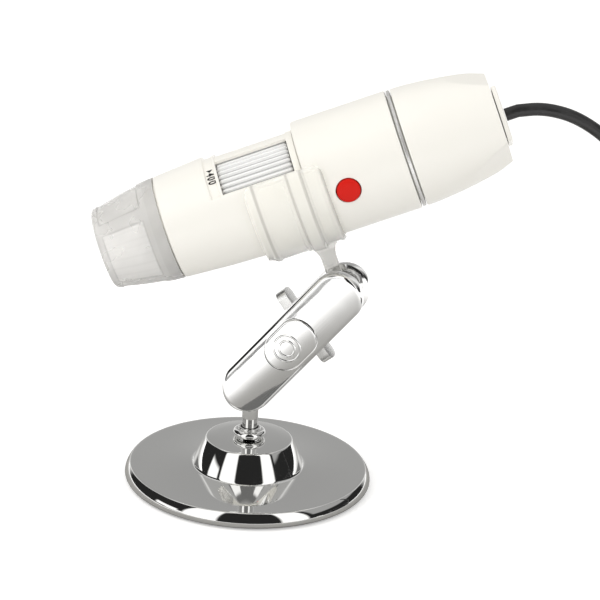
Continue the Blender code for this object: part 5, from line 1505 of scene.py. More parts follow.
@dataclass
class Microscope:
    """The microscope: hood, barrel, wheel, lens, housing, button, cap and plate.

    Attributes:
        frame: The microscope's frame; places count from the clip's stem.
        cap_frame: The rear cap's frame.
        hood: Front and rear places of the hood.
        hood_radii: Its radii there.
        barrel_rear: Where the barrel meets the housing.
        shoulder: Place of the barrel's shoulder.
        barrel_radii: Barrel radii at its front, shoulder and rear.
        saddle: Front place and radius of the saddle.
        saddle_half: Half angle of the saddle, in degrees.
        window: Front and rear places of the windows.
        window_angles: Angles between which each window is open, in degrees.
        wheel_radius: Radius over the wheel's ribs.
        ribs: Number of ribs.
        housing: Front and rear places of the main housing.
        housing_radius: Its radius.
        cap: Front and end places of the rear cap.
        cap_radii: Its radii there.
        facet: Length of the cap's facets and their tilt in degrees.
        plate: Half height of the end plate and its end place.
        button: Place and radius of the button.
    """

    frame: Matrix
    cap_frame: Matrix
    hood: Pair = (-56.5, -38.0)
    hood_radii: Pair = (10.8, 14.1)
    barrel_rear: float = 1.3
    shoulder: float = -25.0
    barrel_radii: Triple = (14.1, 15.0, 16.0)
    saddle: Pair = (-23.5, 14.3)
    saddle_half: float = 57.0
    window: Pair = (-20.3, -0.4)
    window_angles: Pair = (8.0, 55.0)
    wheel_radius: float = 13.2
    ribs: int = 54
    housing: Pair = (1.6, 28.2)
    housing_radius: float = 16.4
    cap: Pair = (29.7, 54.9)
    cap_radii: Pair = (16.3, 12.9)
    facet: Pair = (10.9, 23.0)
    plate: Pair = (7.6, 56.5)
    button: Pair = (11.5, 3.15)

    @property
    def maker(self) -> Maker:
        """Makes pieces in the microscope's frame."""
        return Maker(self.frame, "microscope")

    def hood_line(self, place: float) -> float:
        """The hood's plain outer radius."""
        share = (place - self.hood[0]) / (self.hood[1] - self.hood[0])
        bulge = 2.2 * share * (1 - share)
        return self.hood_radii[0] + (self.hood_radii[1] - self.hood_radii[0]) * share + bulge

    def hood_outer(self, place: float, angle: float) -> float:
        """Gives the hood's outer radius, with its sunk finger panels and round front edge.

        Args:
            place: Place along the axis.
            angle: Angle round it, in radians.

        Returns:
            The radius.
        """
        radius = self.hood_line(place)
        near = place - self.hood[0]
        if near < 1.0:
            radius -= 1.0 - math.sqrt(max(1.0 - (1.0 - near) ** 2, 0.0))
        quarter = math.pi / 2
        off = (angle + quarter / 2) % quarter - quarter / 2
        low, high = self.hood[0] + 2.0, self.hood[1] - 4.6
        corner = 2.5
        across = abs(off) * radius - math.radians(37) * radius + corner
        along = abs(place - (low + high) / 2) - (high - low) / 2 + corner
        distance = math.hypot(max(across, 0.0), max(along, 0.0)) + min(max(across, along), 0.0) - corner
        return radius - 0.32 * (1 - smooth_step(-0.2, 0.05, distance))

    def build_hood(self) -> None:
        """Builds the clear hood, the lamp board and the lamps."""
        wall, socket = 1.2, 3.3
        steps = 84
        places = [self.hood[0] + 1.0 - math.cos(math.pi / 2 * k / 6) for k in range(6)]
        first = self.hood[0] + 1.0
        length = self.hood[1] - self.hood[0] - 1.0
        places += [first + length * k / steps for k in range(steps + 1)]
        turn = self.hood[1] - socket

        def inner(place: float, angle: float) -> float:
            """The inner radius at a place and angle."""
            deep = self.hood_line(place) - wall
            return deep + (12.9 - deep) * smooth_step(turn - 0.15, turn + 0.15, place)

        skin = Wall(places, even_angles(240), self.hood_outer, inner)
        finish = CLEAR_HOOD.fitted(self.maker.frame)
        hood = self.maker.piece("hood_clear_shell", skin.build(), finish, ["led_hood"], 60)
        hood.visible_shadow = False
        front = -40.7
        board = [(front, 7.4), (front, 11.1), (front + 1.2, 11.1), (front + 1.2, 7.4)]
        board = softened(board, 0.1, closed=True)
        self.maker.piece("lamp_board_ring", lathe(board, Axis.X, 96, True), WHITE_BOARD, ["led_board"])
        foot = front - GAP
        lamp = [(foot, 0.01), (foot, 1.35), (foot - 0.3, 1.35), (foot - 0.32, 1.2), (foot - 1.0, 1.2)]
        turns = [math.radians(15 * k) for k in range(1, 6)]
        lamp += [(foot - 1.0 - 1.2 * math.sin(turn), 1.2 * math.cos(turn)) for turn in turns]
        lamp.append((foot - 2.2, 0.0))
        for k in range(8):
            centre = Axis.X.point(0, 9.25, math.tau * (k + 0.5) / 8)
            solid = shifted(lathe(lamp, Axis.X, 32), Matrix.Translation(centre))
            self.maker.piece(f"lamp_{k + 1}", solid, LAMP, [f"led_{k + 1}"])

    def barrel_outer(self, place: float, angle: float) -> float:
        """Gives the barrel's outer radius, with the saddle sunk round its top.

        Args:
            place: Place along the axis.
            angle: Angle round it, in radians.

        Returns:
            The radius.
        """
        radius = self.barrel_line(place)
        off = abs(angle)
        edge = (math.radians(self.saddle_half) - off) * self.saddle[1]
        sunk = smooth_step(-0.12, 0.12, edge) * smooth_step(-0.15, 0.15, place - self.saddle[0])
        into = place - self.window[0]
        lip = smooth_step(-0.1, 0.1, into + 0.75) * (1 - smooth_step(-0.02, 0.1, into))
        return radius + (self.saddle[1] - radius) * sunk + 0.3 * lip * sunk

    def barrel_line(self, place: float) -> float:
        """The barrel's plain outer radius."""
        return self.barrel_profile_reader(place)

    def __post_init__(self) -> None:
        """Works out the barrel's profile once."""
        front, middle, rear = self.barrel_radii
        self.barrel_profile: Profile = softened(
            [
                (-41.0, 12.6), (-37.75, 12.6), (-37.7, front), (self.shoulder, middle),
                (self.barrel_rear - FINE, rear), (self.barrel_rear, rear - 0.25),
            ],
            0.5,
        )
        self.barrel_profile_reader = reading(self.barrel_profile)

    def build_barrel(self) -> None:
        """Builds the front barrel with its windows, and the mark on its band."""
        inner_line = [
            (-41.0, 11.4), (-39.25, 11.4), (-39.2, 9.9), (-37.65, 9.9), (-37.6, 12.3), (-22.65, 12.9),
            (-22.6, 8.9), (-20.65, 8.9), (-20.6, 13.5), (self.barrel_rear, 13.5),
        ]
        read_inner = reading(inner_line)
        merged = sorted(
            set(filled_places(self.barrel_profile, 0.8))
            | {place for place, _ in inner_line}
            | {self.saddle[0] + shift for shift in (-0.15, -0.05, 0.05, 0.15)}
            | {self.window[0] + shift for shift in (-0.85, -0.65, -0.02, 0.1)}
            | set(self.window)
        )
        places = [merged[0]]
        for place in merged[1:]:
            if place - places[-1] > FINE / 4:
                places.append(place)
        edges = [self.saddle_half + step for step in (-0.5, -0.17, 0.17, 0.5)]
        angles = even_angles(180, [*self.window_angles, *edges])
        low, high = (math.radians(value) for value in self.window_angles)

        def is_open(place: float, angle: float) -> bool:
            """Tells whether the window is open there."""
            off = abs((angle + math.pi) % math.tau - math.pi)
            return low < off < high and self.window[0] < place < self.window[1]

        skin = Wall(places, angles, self.barrel_outer, lambda place, angle: read_inner(place), is_open)
        barrel = self.maker.piece("barrel_cream_shell", skin.build(), CREAM, ["front_barrel"])
        self.maker.bevel(barrel, 0.16, 60.0, 2)
        self.build_mark()

    def build_mark(self) -> None:
        """Prints a plain pointer and number on the saddle's band."""
        radius = self.saddle[1] + 0.03
        place = self.saddle[0] + 0.45
        angle = math.radians(20.0)
        height = 2.3
        for count, glyph in enumerate("▶400"):
            advance = 1.35 if count else 1.2
            if count == 0:
                loop = [Vector((0.0, 0.1, 0)), Vector((0.95, 0.95, 0)), Vector((0.0, 1.8, 0))]
                mark = bmesh.new()
                mark.faces.new([mark.verts.new(point) for point in loop])
            else:
                mark = self.glyph(glyph, height)
            tangent = Vector((0, -math.cos(angle), -math.sin(angle)))
            normal = Vector((0, -math.sin(angle), math.cos(angle)))
            base = Vector((place, 0, 0)) + normal * radius
            turn = Matrix((tangent, Vector((1, 0, 0)), normal)).transposed().to_4x4()
            shifted(mark, Matrix.Translation(base) @ turn)
            result = bmesh.ops.extrude_face_region(mark, geom=list(mark.faces))
            lifted = [item for item in result["geom"] if isinstance(item, bmesh.types.BMVert)]
            bmesh.ops.translate(mark, vec=normal * 0.03, verts=lifted)
            self.maker.piece(f"band_mark_{count + 1}", mark, BLACK_PRINT)
            angle += advance / radius

    @staticmethod
    def glyph(text: str, height: float) -> Solid:
        """Makes a flat number from Blender's own font.

        Args:
            text: The number.
            height: Its height.

        Returns:
            Its faces, narrowed and a little bold.
        """
        curve = bpy.data.curves.new("glyph", "FONT")
        curve.body = text
        curve.size = height * 1.35
        curve.resolution_u = 6
        curve.offset = 0.09
        carrier = bpy.data.objects.new("glyph", curve)
        bpy.context.scene.collection.objects.link(carrier)
        bpy.context.view_layer.update()
        mesh = bpy.data.meshes.new_from_object(carrier.evaluated_get(bpy.context.evaluated_depsgraph_get()))
        solid = bmesh.new()
        solid.from_mesh(mesh)
        bmesh.ops.remove_doubles(solid, verts=solid.verts, dist=FINE / 10)
        bpy.data.objects.remove(carrier)
        bpy.data.curves.remove(curve)
        bpy.data.meshes.remove(mesh)
        return shifted(solid, Matrix.Scale(0.68, 4, Vector((1, 0, 0))))

    def build_wheel(self) -> None:
        """Builds the ribbed focus wheel."""
        front, rear = self.window[0], -0.7
        points = 10
        count = self.ribs * points

        def outer(place: float, angle: float) -> float:
            """The outer radius at a place and angle."""
            near = min(place - front, rear - place)
            share = (angle / math.tau * self.ribs) % 1.0
            rib = smooth_step(0.08, 0.26, share) * (1 - smooth_step(0.62, 0.8, share))
            end = 0.45 * (1 - smooth_step(0.0, 0.5, near))
            return self.wheel_radius - 0.75 * (1 - rib) - end

        places = [front, front + 0.12, front + 0.3, front + 0.5, front + 3.0, -10.5, rear - 3.0]
        places += [rear - 0.5, rear - 0.3, rear - 0.12, rear]
        angles = [-math.pi + math.tau * k / count for k in range(count)]
        skin = Wall(places, angles, outer, lambda place, angle: 8.9)
        ribbed = SILVER_RIBS.fitted(self.frame)
        turning = Maker(self.frame, "focus_wheel")
        turning.piece("wheel_silver_ribs", skin.build(), ribbed, ["focus_wheel"], 50)

    def build_lens(self) -> None:
        """Builds the lens carrier's tube, the lens and its retaining ring."""
        maker = Maker(self.frame, "lens_carrier")
        carrier = [
            (-45.5, 6.3), (-45.5, 7.1), (-7.0, 7.1), (-7.0, 5.2), (-14.0, 5.2), (-14.0, 5.0),
            (-42.0, 5.0), (-42.0, 6.3),
        ]
        threaded = carrier[:-1] + [(-42.0, 6.3)]
        for k in range(4):
            threaded += [(-42.6 - 0.6 * k, 6.3), (-42.9 - 0.6 * k, 6.42)]
        sleeve = lathe(softened(threaded, 0.1, 2, True), Axis.X, 96, True)
        tube = maker.piece("lens_carrier_tube", sleeve, INNER_BLACK,
                           ["lens_carrier"])
        for side in (-1, 1):
            low = Vector((-11.0, min(side * 6.0, side * 8.45), -1.0))
            high = Vector((-8.0, max(side * 6.0, side * 8.45), 1.0))
            maker.combine(tube, box(low, high), "UNION")
        back, edge = -42.3, -43.5
        lens = [(back + 0.4 * (1 - s**2), 6.0 * s) for s in (k / 12 for k in range(13))]
        lens += [(edge - 0.7 * (1 - s**2), 6.0 * s) for s in (k / 12 for k in range(12, -1, -1))]
        maker.piece("objective_glass", lathe(lens, Axis.X, 72), LENS, ["objective_lens"])
        ring = [(-43.95, 4.9), (-43.95, 6.0), (-45.05, 6.0), (-45.05, 5.5), (-44.4, 4.9)]
        maker.piece("lens_ring_black", lathe(softened(ring, 0.12, 3, True), Axis.X, 72, True), INNER_BLACK,
                    ["lens_retainer"])

    def build_housing(self) -> None:
        """Builds the main housing, the button and the trim ring."""
        front, rear = self.housing
        radius = self.housing_radius
        bore = radius - 1.6
        profile = [
            (front, radius), (rear, radius), (rear, bore), (front + 2.0, bore), (front + 2.0, 6.3),
            (front, 6.3), (front, 12.2), (front - 2.0, 12.2), (front - 2.0, 13.2), (front, 13.2),
        ]
        rounded = softened(profile, 0.55, 5, True)
        body = lathe(rounded, Axis.X, 160, True)
        housing = self.maker.piece("housing_cream_shell", body, CREAM, ["main_housing"])
        place, size = self.button
        drill = lathe([(-10.0, size + GAP), (-18.0, size + GAP)], Axis.Y, 64)
        drill = shifted(drill, Matrix.Translation((place, 0, 0)))
        self.maker.combine(housing, drill)
        button = Maker(self.frame @ Matrix.Translation((place, 0, 0)), "snap_button")
        top = radius + 0.8
        crown = [(-top + 0.6 * (1 - math.sqrt(1 - s * s)), size * s) for s in (k / 14 for k in range(14))]
        crown += [(-top + 0.55, size - 0.02), (-top + 0.75, size), (-13.9, size), (-13.9, size + 1.1)]
        crown += [(-13.1, size + 1.1), (-13.1, 1.5), (-12.6, 1.5), (-12.6, 0.0)]
        button.piece("snap_button_red", lathe(crown, Axis.Y, 72), RED_BUTTON, ["snap_button"])
        ring_front = rear + GAP
        edge = radius - 0.2
        ring_end = ring_front + 0.9
        ring = [(ring_front, bore), (ring_front, edge), (ring_end, edge), (ring_end, bore)]
        pearl = lathe(softened(ring, 0.2, 4, True), Axis.X, 160, True)
        self.maker.piece("trim_ring_pearl", pearl, PEARL_RING,
                         ["trim_ring"])

    def cap_line(self, place: float) -> float:
        """The rear cap's plain outer radius."""
        share = min(max((place - self.cap[0]) / (self.cap[1] - self.cap[0]), 0.0), 1.0)
        return self.cap_radii[0] - (self.cap_radii[0] - self.cap_radii[1]) * share**1.7

    def cap_outer(self, place: float, angle: float) -> float:
        """Gives the rear cap's outer radius, with its four facets cut.

        Args:
            place: Place along the axis.
            angle: Angle round it, in radians.

        Returns:
            The radius.
        """
        radius = self.cap_line(place)
        if place < self.cap[0] + 0.35:
            radius -= 0.35 - math.sqrt(max(0.35**2 - (self.cap[0] + 0.35 - place) ** 2, 0.0))
        length, tilt = self.facet
        start = self.cap[1] - length
        depth_end = self.cap_radii[1] * 0.88
        slope = (self.cap_line(start) - depth_end) / length
        depth = depth_end + slope * (self.cap[1] - place)
        for centre in (tilt, -tilt, 180 - tilt, 180 + tilt):
            off = (angle - math.radians(centre) + math.pi) % math.tau - math.pi
            if abs(off) < math.pi / 2.2:
                flat = depth / math.cos(off)
                blend = 0.12
                radius = (radius + flat - math.sqrt((radius - flat) ** 2 + blend**2)) / 2
        return radius

    def build_rear(self) -> None:
        """Builds the rear cap, the end plate and the cable's anchor."""
        maker = Maker(self.cap_frame, "microscope")
        front, end = self.cap
        steps = 90
        places = [front + 0.35 * (1 - math.cos(math.pi / 2 * k / 5)) for k in range(5)]
        places += [front + 0.35 + (end - front - 0.35) * k / steps for k in range(steps + 1)]
        inside = [(front, 14.0), (front + 14.0, 13.2), (end - 1.75, 9.6), (end - 1.7, 6.6), (end, 6.6)]
        read_inner = reading(inside)
        skin = Wall(places, even_angles(288), self.cap_outer, lambda place, angle: read_inner(place))
        cap = maker.piece("cap_cream_shell", skin.build(), CREAM, ["rear_cap"], 40)
        maker.bevel(cap, 0.3, 60.0, 3)
        collar = [(front - 4.6, 13.2), (front - 4.6, 14.5), (front + 0.4, 14.5), (front + 0.4, 13.2)]
        maker.piece("cap_spigot", lathe(softened(collar, 0.2, 3, True), Axis.X, 96, True), CREAM)
        half, plate_end = self.plate
        plate_front = self.cap[1] + GAP
        radius = self.cap_radii[1] - 1.0
        reach = math.asin(half / radius)
        outline = []
        for side in (0.0, math.pi):
            for k in range(33):
                angle = side - reach + 2 * reach * k / 32
                outline.append((radius * math.cos(angle), radius * math.sin(angle)))
        levels = [(plate_front, 0.0), (plate_end - 0.45, 0.0)]
        levels += [(plate_end - 0.2, 0.012), (plate_end - 0.06, 0.035)]
        levels.append((plate_end, 0.07))
        loops = [[Vector((t, y * (1 - s), z * (1 - s))) for y, z in outline] for t, s in levels]
        plate = maker.piece("end_plate_cream", loft(loops), CREAM, ["end_plate"])
        maker.combine(plate, lathe([(plate_front - 2.8, 6.3), (plate_front + 0.3, 6.3)], Axis.X, 72), "UNION")
        maker.combine(plate, lathe([(plate_front - 4.0, 2.05), (plate_end + 1.0, 2.05)], Axis.X, 48))
        back = plate_front - 2.8 - GAP
        anchor = [(back - 2.8, 4.2), (back, 4.2), (back, 1.75), (plate_end, 1.75)]
        maker.piece("cable_anchor_black", lathe(softened(anchor, 0.3), Axis.X, 48), SHEATH, ["cable_anchor"])

    def build(self) -> None:
        """Builds and dresses the microscope."""
        self.build_hood()
        self.build_barrel()
        self.build_wheel()
        self.build_lens()
        self.build_housing()
        self.build_rear()


# The way of the free cable in metres, from the microscope to its coil.
CABLE_ROUTE = [
    (0.07010, 0.01918, 0.11125), (0.07476, 0.02080, 0.11075), (0.07952, 0.02239, 0.10925),
    (0.08426, 0.02407, 0.10655), (0.08841, 0.02562, 0.10315), (0.09237, 0.02712, 0.09815),
    (0.09555, 0.02845, 0.09195), (0.09806, 0.02961, 0.08495), (0.09978, 0.03060, 0.07745),
    (0.10112, 0.03147, 0.06845), (0.10216, 0.03221, 0.05845), (0.10291, 0.03291, 0.04845),
    (0.10335, 0.03353, 0.03945), (0.10381, 0.03408, 0.03145), (0.10504, 0.03472, 0.02325),
    (0.10909, 0.03610, 0.01755), (0.11368, 0.03744, 0.01475),
]


@dataclass
class Cable:
    """The cable with its coil, tie and plug, in metres.

    Attributes:
        exit: Where it leaves the microscope.
        along: The direction that it leaves in.
        radius: Radius of the cord.
        length: Length of the cord.
        centre: The coil's centre on the table.
        coil_radius: Radius of the coil's outer turns.
        pitch: Distance from turn to turn, both ways.
        layers: Number of layers.
        turns: Number of turns.
        climb: Turns in which a layer is left for the next.
        start: Angle at which the cord enters the coil, in degrees.
        tie: Angle of the tie, in degrees.
    """

    exit: Vector
    along: Vector
    radius: float = 0.00175
    # length: Length of the cord; not used.
    length: float = 1.3
    centre: Pair = (0.1281, 0.0175)
    coil_radius: float = 0.0239
    pitch: float = 0.004
    layers: int = 4
    turns: float = 9.25
    climb: float = 0.5
    start: float = 104.0
    tie: float = -92.0
    tail: float = 0.018
    pieces: list[bpy.types.Object] = field(default_factory=list)

    def coil(self) -> list[Vector]:
        """Points along the coil, from its top layer down."""
        layer_turns = (self.turns - self.climb * (self.layers - 1)) / self.layers
        inner = self.coil_radius - self.pitch * layer_turns
        lowest = self.radius + 0.00005
        swing, lift, lift_half = 0.0006, 0.001, math.radians(42)
        count = round(self.turns * 48)
        points = []
        for k in range(count + 1):
            turn = self.turns * k / count
            layer = min(int(turn / (layer_turns + self.climb)), self.layers - 1)
            within = turn - layer * (layer_turns + self.climb)
            spiral = min(within, layer_turns)
            rise = max(within - layer_turns, 0) / self.climb
            inward = layer % 2 == 0
            radius = self.coil_radius - self.pitch * spiral if inward else inner + self.pitch * spiral
            radius += (-swing if inward else swing) * math.sin(math.pi * rise)
            down = layer + (1 - math.cos(math.pi * rise)) / 2
            height = lowest + self.pitch * (self.layers - 1 - down)
            angle = math.radians(self.start) - math.tau * turn
            off = (angle - math.radians(self.tie) + math.pi) % math.tau - math.pi
            if abs(off) < lift_half:
                height += lift * math.cos(math.pi / 2 * off / lift_half) ** 2
            x = self.centre[0] + radius * math.cos(angle)
            y = self.centre[1] + radius * math.sin(angle)
            points.append(Vector((x, y, height)))
        return points

    def line(self) -> tuple[list[Vector], Vector]:
        """The cord's centreline and the direction in which it ends."""
        diameter = 2 * self.radius
        start = math.radians(self.start)
        into = Vector((math.sin(start), -math.cos(start), 0))
        coil = self.coil()
        coil_start = coil[0] - into * diameter
        route = [self.exit + self.along * diameter] + [Vector(point) for point in CABLE_ROUTE]
        route += [coil_start - into * diameter, coil_start]
        padded = [2 * route[0] - route[1]] + route + [2 * route[-1] - route[-2]]
        points = [self.exit, self.exit + self.along * diameter / 2]
        for a, b, c, d in zip(padded, padded[1:], padded[2:], padded[3:]):
            for k in range(5):
                s = k / 5
                bend = (2 * a - 5 * b + 4 * c - d) * s**2 + (3 * b - a - 3 * c + d) * s**3
                points.append((2 * b + (c - a) * s + bend) / 2)
        points += [coil_start, coil_start + into * diameter / 2] + coil
        end = start - math.tau * self.turns
        out = Vector((math.sin(end), -math.cos(end), 0))
        last = coil[-1]
        plug_height = 0.00395
        for k in range(1, 15):
            share = k / 14
            rise = min(max((share * self.tail - diameter) / (self.tail - 2 * diameter), 0), 1)
            lift = (plug_height - last.z) * (1 - math.cos(math.pi * rise)) / 2
            points.append(last + out * self.tail * share + Vector((0, 0, lift)))
        return points, out

    def build(self) -> None:
        """Builds and dresses the cable and what is on it."""
        points, out = self.line()
        curve = bpy.data.curves.new("usb_cord", "CURVE")
        curve.dimensions = "3D"
        curve.bevel_depth = self.radius
        curve.bevel_resolution = 5
        curve.use_fill_caps = True
        spline = curve.splines.new("POLY")
        spline.points.add(len(points) - 1)
        for slot, point in zip(spline.points, points):
            slot.co = (*point, 1.0)
        curve.materials.append(SHEATH.material())
        cord = bpy.data.objects.new("usb_cord", curve)
        bpy.context.scene.collection.objects.link(cord)
        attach(cord, "microscope")
        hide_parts("usb_cable", "cable_coil")
        self.build_tie()
        self.build_plug(points[-1], out)

    def build_tie(self) -> None:
        """Builds the tie strip round the turns, with its crimped end."""
        layer_turns = (self.turns - self.climb * (self.layers - 1)) / self.layers
        inner = self.coil_radius - self.pitch * layer_turns
        spread = self.radius + 0.0009
        width = (self.coil_radius - inner + 2 * spread) / MM
        low = 0.75
        high = (2 * self.radius + self.pitch * (self.layers - 1)) / MM + 1.35
        thick = 0.7
        angle = math.radians(self.tie)
        place = Matrix.Translation((*self.centre, 0)) @ Matrix.Rotation(angle, 4, "Z")
        place = place @ Matrix.Translation(((self.coil_radius + inner) / 2, 0, 0)) @ Matrix.Scale(MM, 4)
        solid = bmesh.new()
        rings = []
        outer = rounded_rectangle(width + 2 * thick, high - low + 2 * thick, 1.5)
        hollow = rounded_rectangle(width, high - low, 0.85)
        for y, outline in ((-2.0, outer), (2.0, outer), (2.0, hollow), (-2.0, hollow)):
            rings.append([solid.verts.new((x, y, (low + high) / 2 + z)) for x, z in outline])
        for ring, other in zip(rings, rings[1:] + rings[:1]):
            quads(solid, ring, other)
        maker = Maker(place, "microscope")
        strip = maker.piece("tie_strip_black", solid, TIE_STRIP, ["cable_tie"])
        maker.bevel(strip, 0.12, 50.0, 2)
        self.pieces.append(strip)

    def build_plug(self, at: Vector, out: Vector) -> None:
        """Builds the plug: its ribbed neck and body, metal shell, tongue and contacts."""
        up = Vector((0, 0, 1))
        turn = Matrix((out, up.cross(out), up)).transposed().to_4x4()
        maker = Maker(Matrix.Translation(at) @ turn @ Matrix.Scale(MM, 4), "microscope")
        neck_length, length, width, height = 9.0, 20.0, 15.0, 7.8
        neck: Profile = [(GAP, 2.15)]
        for k in range(4):
            for share, sink in ((0.12, 0.0), (0.6, 0.0), (0.68, 0.4), (0.96, 0.4)):
                part = (k + share) / 4
                neck.append((GAP + neck_length * part, 2.15 + 0.85 * part - sink))
        neck.append((GAP + neck_length + 1.0, 2.6))
        body = maker.piece("plug_moulded_body", lathe(softened(neck, 0.12, 3), Axis.X, 48), PLUG_BODY,
                           ["usb_overmould"])
        start = GAP + neck_length
        end = start + length
        rows = [
            (start, width - 4.6, height - 2.4), (start + 0.5, width - 2.6, height - 1.3),
            (start + 1.3, width - 0.9, height - 0.4), (start + 2.4, width, height),
            (end - 0.4, width, height),
            (end, width - 0.5, height - 0.5),
        ]
        loops = [[Vector((x, y, z)) for y, z in rounded_rectangle(w, h, 2.1)] for x, w, h in rows]
        maker.combine(body, loft(loops), "UNION")
        for side in (-1, 1):
            outline = rounded_rectangle(length - 6.4, 9.8, 1.6)
            middle = (start + end) / 2 + 0.2
            levels = (side * (height / 2 - 0.4), side * (height / 2 + 1.0))
            maker.combine(body, loft([[Vector((middle + x, y, z)) for x, y in outline] for z in levels]))
        maker.bevel(body, 0.15, 50.0, 2)
        shell_start, shell_end = end + GAP, end + GAP + 18.7
        solid = bmesh.new()
        rings = []
        outer, hollow = rounded_rectangle(12.0, 4.5, 0.4), rounded_rectangle(11.2, 3.7, 0.2)
        rims = ((shell_start, outer), (shell_end, outer), (shell_end, hollow), (shell_start, hollow))
        for x, outline in rims:
            rings.append([solid.verts.new((x, y, z)) for y, z in outline])
        for ring, other in zip(rings, rings[1:] + rings[:1]):
            quads(solid, ring, other)
        shell = maker.piece("plug_nickel_shell", solid, NICKEL, ["usb_shell"])
        for y in (-2.9, 2.9):
            low = Vector((shell_start + 4.6, y - 1.1, 1.2))
            maker.combine(shell, box(low, low + Vector((2.6, 2.2, 2.0))))
        maker.bevel(shell, 0.06, 50.0, 2)
        low = Vector((shell_start, -5.3, -1.55))
        tongue = maker.piece("plug_tongue_black", box(low, Vector((shell_end - 1.0, 5.3, 0.05))), INNER_BLACK,
                             ["usb_tongue"])
        maker.bevel(tongue, 0.12, 50.0, 2)
        self.pieces += [body, shell, tongue]
        for k in range(4):
            y = -3.5 + 7.0 * k / 3
            low = Vector((shell_end - 10.0, y - 0.55, 0.02))
            strip = maker.piece(f"plug_contact_{k + 1}", box(low, low + Vector((8.2, 1.1, 0.12))), GOLD)
            maker.bevel(strip, 0.04, 50.0, 2)
            self.pieces.append(strip)


